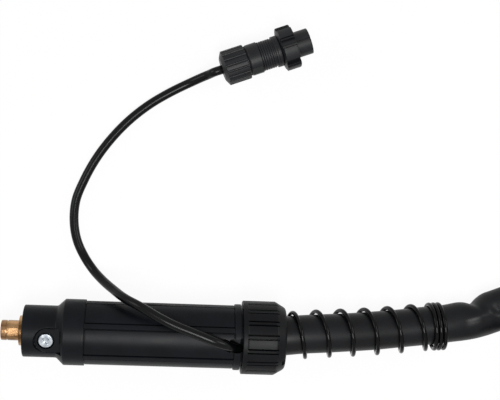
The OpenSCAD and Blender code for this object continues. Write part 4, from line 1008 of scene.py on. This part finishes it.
NOZZLE_X, NOZZLE_R, CLIP_R, NOZZLE_TAPER, NOZZLE_STRAIGHT = 12.0, 11.5, 10.0, 32.0, 14.0
NOZZLE_END, NOZZLE_MOUTH_R, NOZZLE_WALL = 82.0, 8.0, 1.6
TIP_X, TIP_END, TIP_R, TIP_CONE, TIP_DROP, WIRE_R = 50.1, NOZZLE_END - 6.5, 4.0, 4, 1.25, 0.6

neck_metal = turned_group(math.pi - BEND)
nickel = machined(
    "nozzle_nickel", (0.42, 0.39, 0.36), (0.68, 0.65, 0.62), (0.22, 0.36), neck_metal, 2400, slow=90)
taper_x, straight_x = NOZZLE_END - NOZZLE_TAPER, NOZZLE_END - NOZZLE_STRAIGHT
nozzle_outline = rounded([
    (NOZZLE_X, CLIP_R), (NOZZLE_X, NOZZLE_R), (taper_x, NOZZLE_R),
    (straight_x, NOZZLE_MOUTH_R + NOZZLE_WALL + 0.2), (NOZZLE_END, NOZZLE_MOUTH_R + NOZZLE_WALL),
    (NOZZLE_END, NOZZLE_MOUTH_R), (straight_x - 2, NOZZLE_MOUTH_R), (taper_x, CLIP_R)], 0.9, 6)
turned("gas_nozzle", NECK_END, spaced(nozzle_outline, 1.5), columns(128), nickel, body="gas_nozzle")
tip_outline = rounded([
    (TIP_X, WIRE_R), (TIP_X, TIP_R), (TIP_END - TIP_CONE, TIP_R), (TIP_END, TIP_R - TIP_DROP),
    (TIP_END, WIRE_R)], 0.3)
tip_copper = machined("tip_copper", (0.42, 0.17, 0.09), (0.70, 0.36, 0.22), (0.24, 0.36), neck_metal)
turned("contact_tip", NECK_END, spaced(tip_outline, 0.8), columns(64), tip_copper)
neck_brass = machined("holder_brass", (0.35, 0.20, 0.08), (0.62, 0.39, 0.20), (0.26, 0.38), neck_metal)
dress(nodes["tip_holder"], neck_brass)
dress(nodes["nozzle_clip"], zinc)
dress(nodes["gas_diffuser"],
      moulded("ceramic", (0.66, 0.63, 0.55), (0.80, 0.77, 0.70), (0.6, 0.75), gloss=0.4))
dress(nodes["nozzle_insulator"],
      moulded("phenolic", (0.13, 0.045, 0.02), (0.24, 0.09, 0.045), (0.4, 0.5), 400, 0.02, 200, gloss=0.4))


# ---- bench, world and lamps ----
# A white sheet on the bench that keeps a faint shadow, a broad soft lamp over the near side,
# and weaker ones at the left and right.

SHEET_GLOW, SHEET_HALF, SHEET_GAP, WORLD_LIGHT = 0.93, 6, 0.05, 0.20


def white_where_seen(owner, lit, white, output, share=1.0, **plain):
    """Mixes a lit shader with a share of white where the camera meets it.

    It meets it straight, or in a glossy or clear surface.
    """
    tree = blank(owner)
    ray = put(tree, "ShaderNodeLightPath")
    mirror, either = [put(tree, "ShaderNodeMath", operation="MAXIMUM") for _ in range(2)]
    part = put(tree, "ShaderNodeMath", operation="MULTIPLY")
    part.inputs[1].default_value = share
    blend, out = put(tree, "ShaderNodeMixShader"), put(tree, output)
    wire(tree, (ray, "Is Glossy Ray", mirror, 0), (ray, "Is Transmission Ray", mirror, 1),
         (ray, "Is Camera Ray", either, 0), (mirror, 0, either, 1), (either, 0, part, 0),
         (part, 0, blend, 0), (put(tree, lit, **plain), 0, blend, 1),
         (put(tree, white, color=(1, 1, 1, 1), strength=1.0), 0, blend, 2), (blend, 0, out, 0))


sheet_mesh = bpy.data.meshes.new("sheet")
corners = [(x * SHEET_HALF, y * SHEET_HALF, 0) for x, y in ((-1, -1), (1, -1), (1, 1), (-1, 1))]
sheet_mesh.from_pydata(corners, [], [(0, 1, 2, 3)])
sheet = placed("sheet", sheet_mesh)
sheet.location.z = (FLOOR - SHEET_GAP) * MM
paper = bpy.data.materials.new("bench_sheet")
white_where_seen(
    paper, "ShaderNodeBsdfDiffuse", "ShaderNodeEmission", "ShaderNodeOutputMaterial", SHEET_GLOW,
    color=(0.86, 0.86, 0.86, 1))
dress(sheet, paper)

scene.world = bpy.data.worlds.new("world")
white_where_seen(
    scene.world, "ShaderNodeBackground", "ShaderNodeBackground", "ShaderNodeOutputWorld",
    color=(1, 1, 1, 1), strength=WORLD_LIGHT)

for name, place, aim, size, power in (
        ("overhead", (0.20, -0.25, 1.15), (0.17, 0.02, 0), 0.45, 12.0),
        ("left", (-0.75, 0.30, 0.55), (0.1, 0.05, 0), 0.5, 2.5),
        ("right", (1.05, 0.35, 0.70), (0.2, 0.0, 0), 0.5, 4.0)):
    lamp = bpy.data.lights.new(name, "AREA")
    lamp.size, lamp.energy = size, power
    placed(name, lamp).matrix_world = look(place, aim, (1, 0.01, 0))
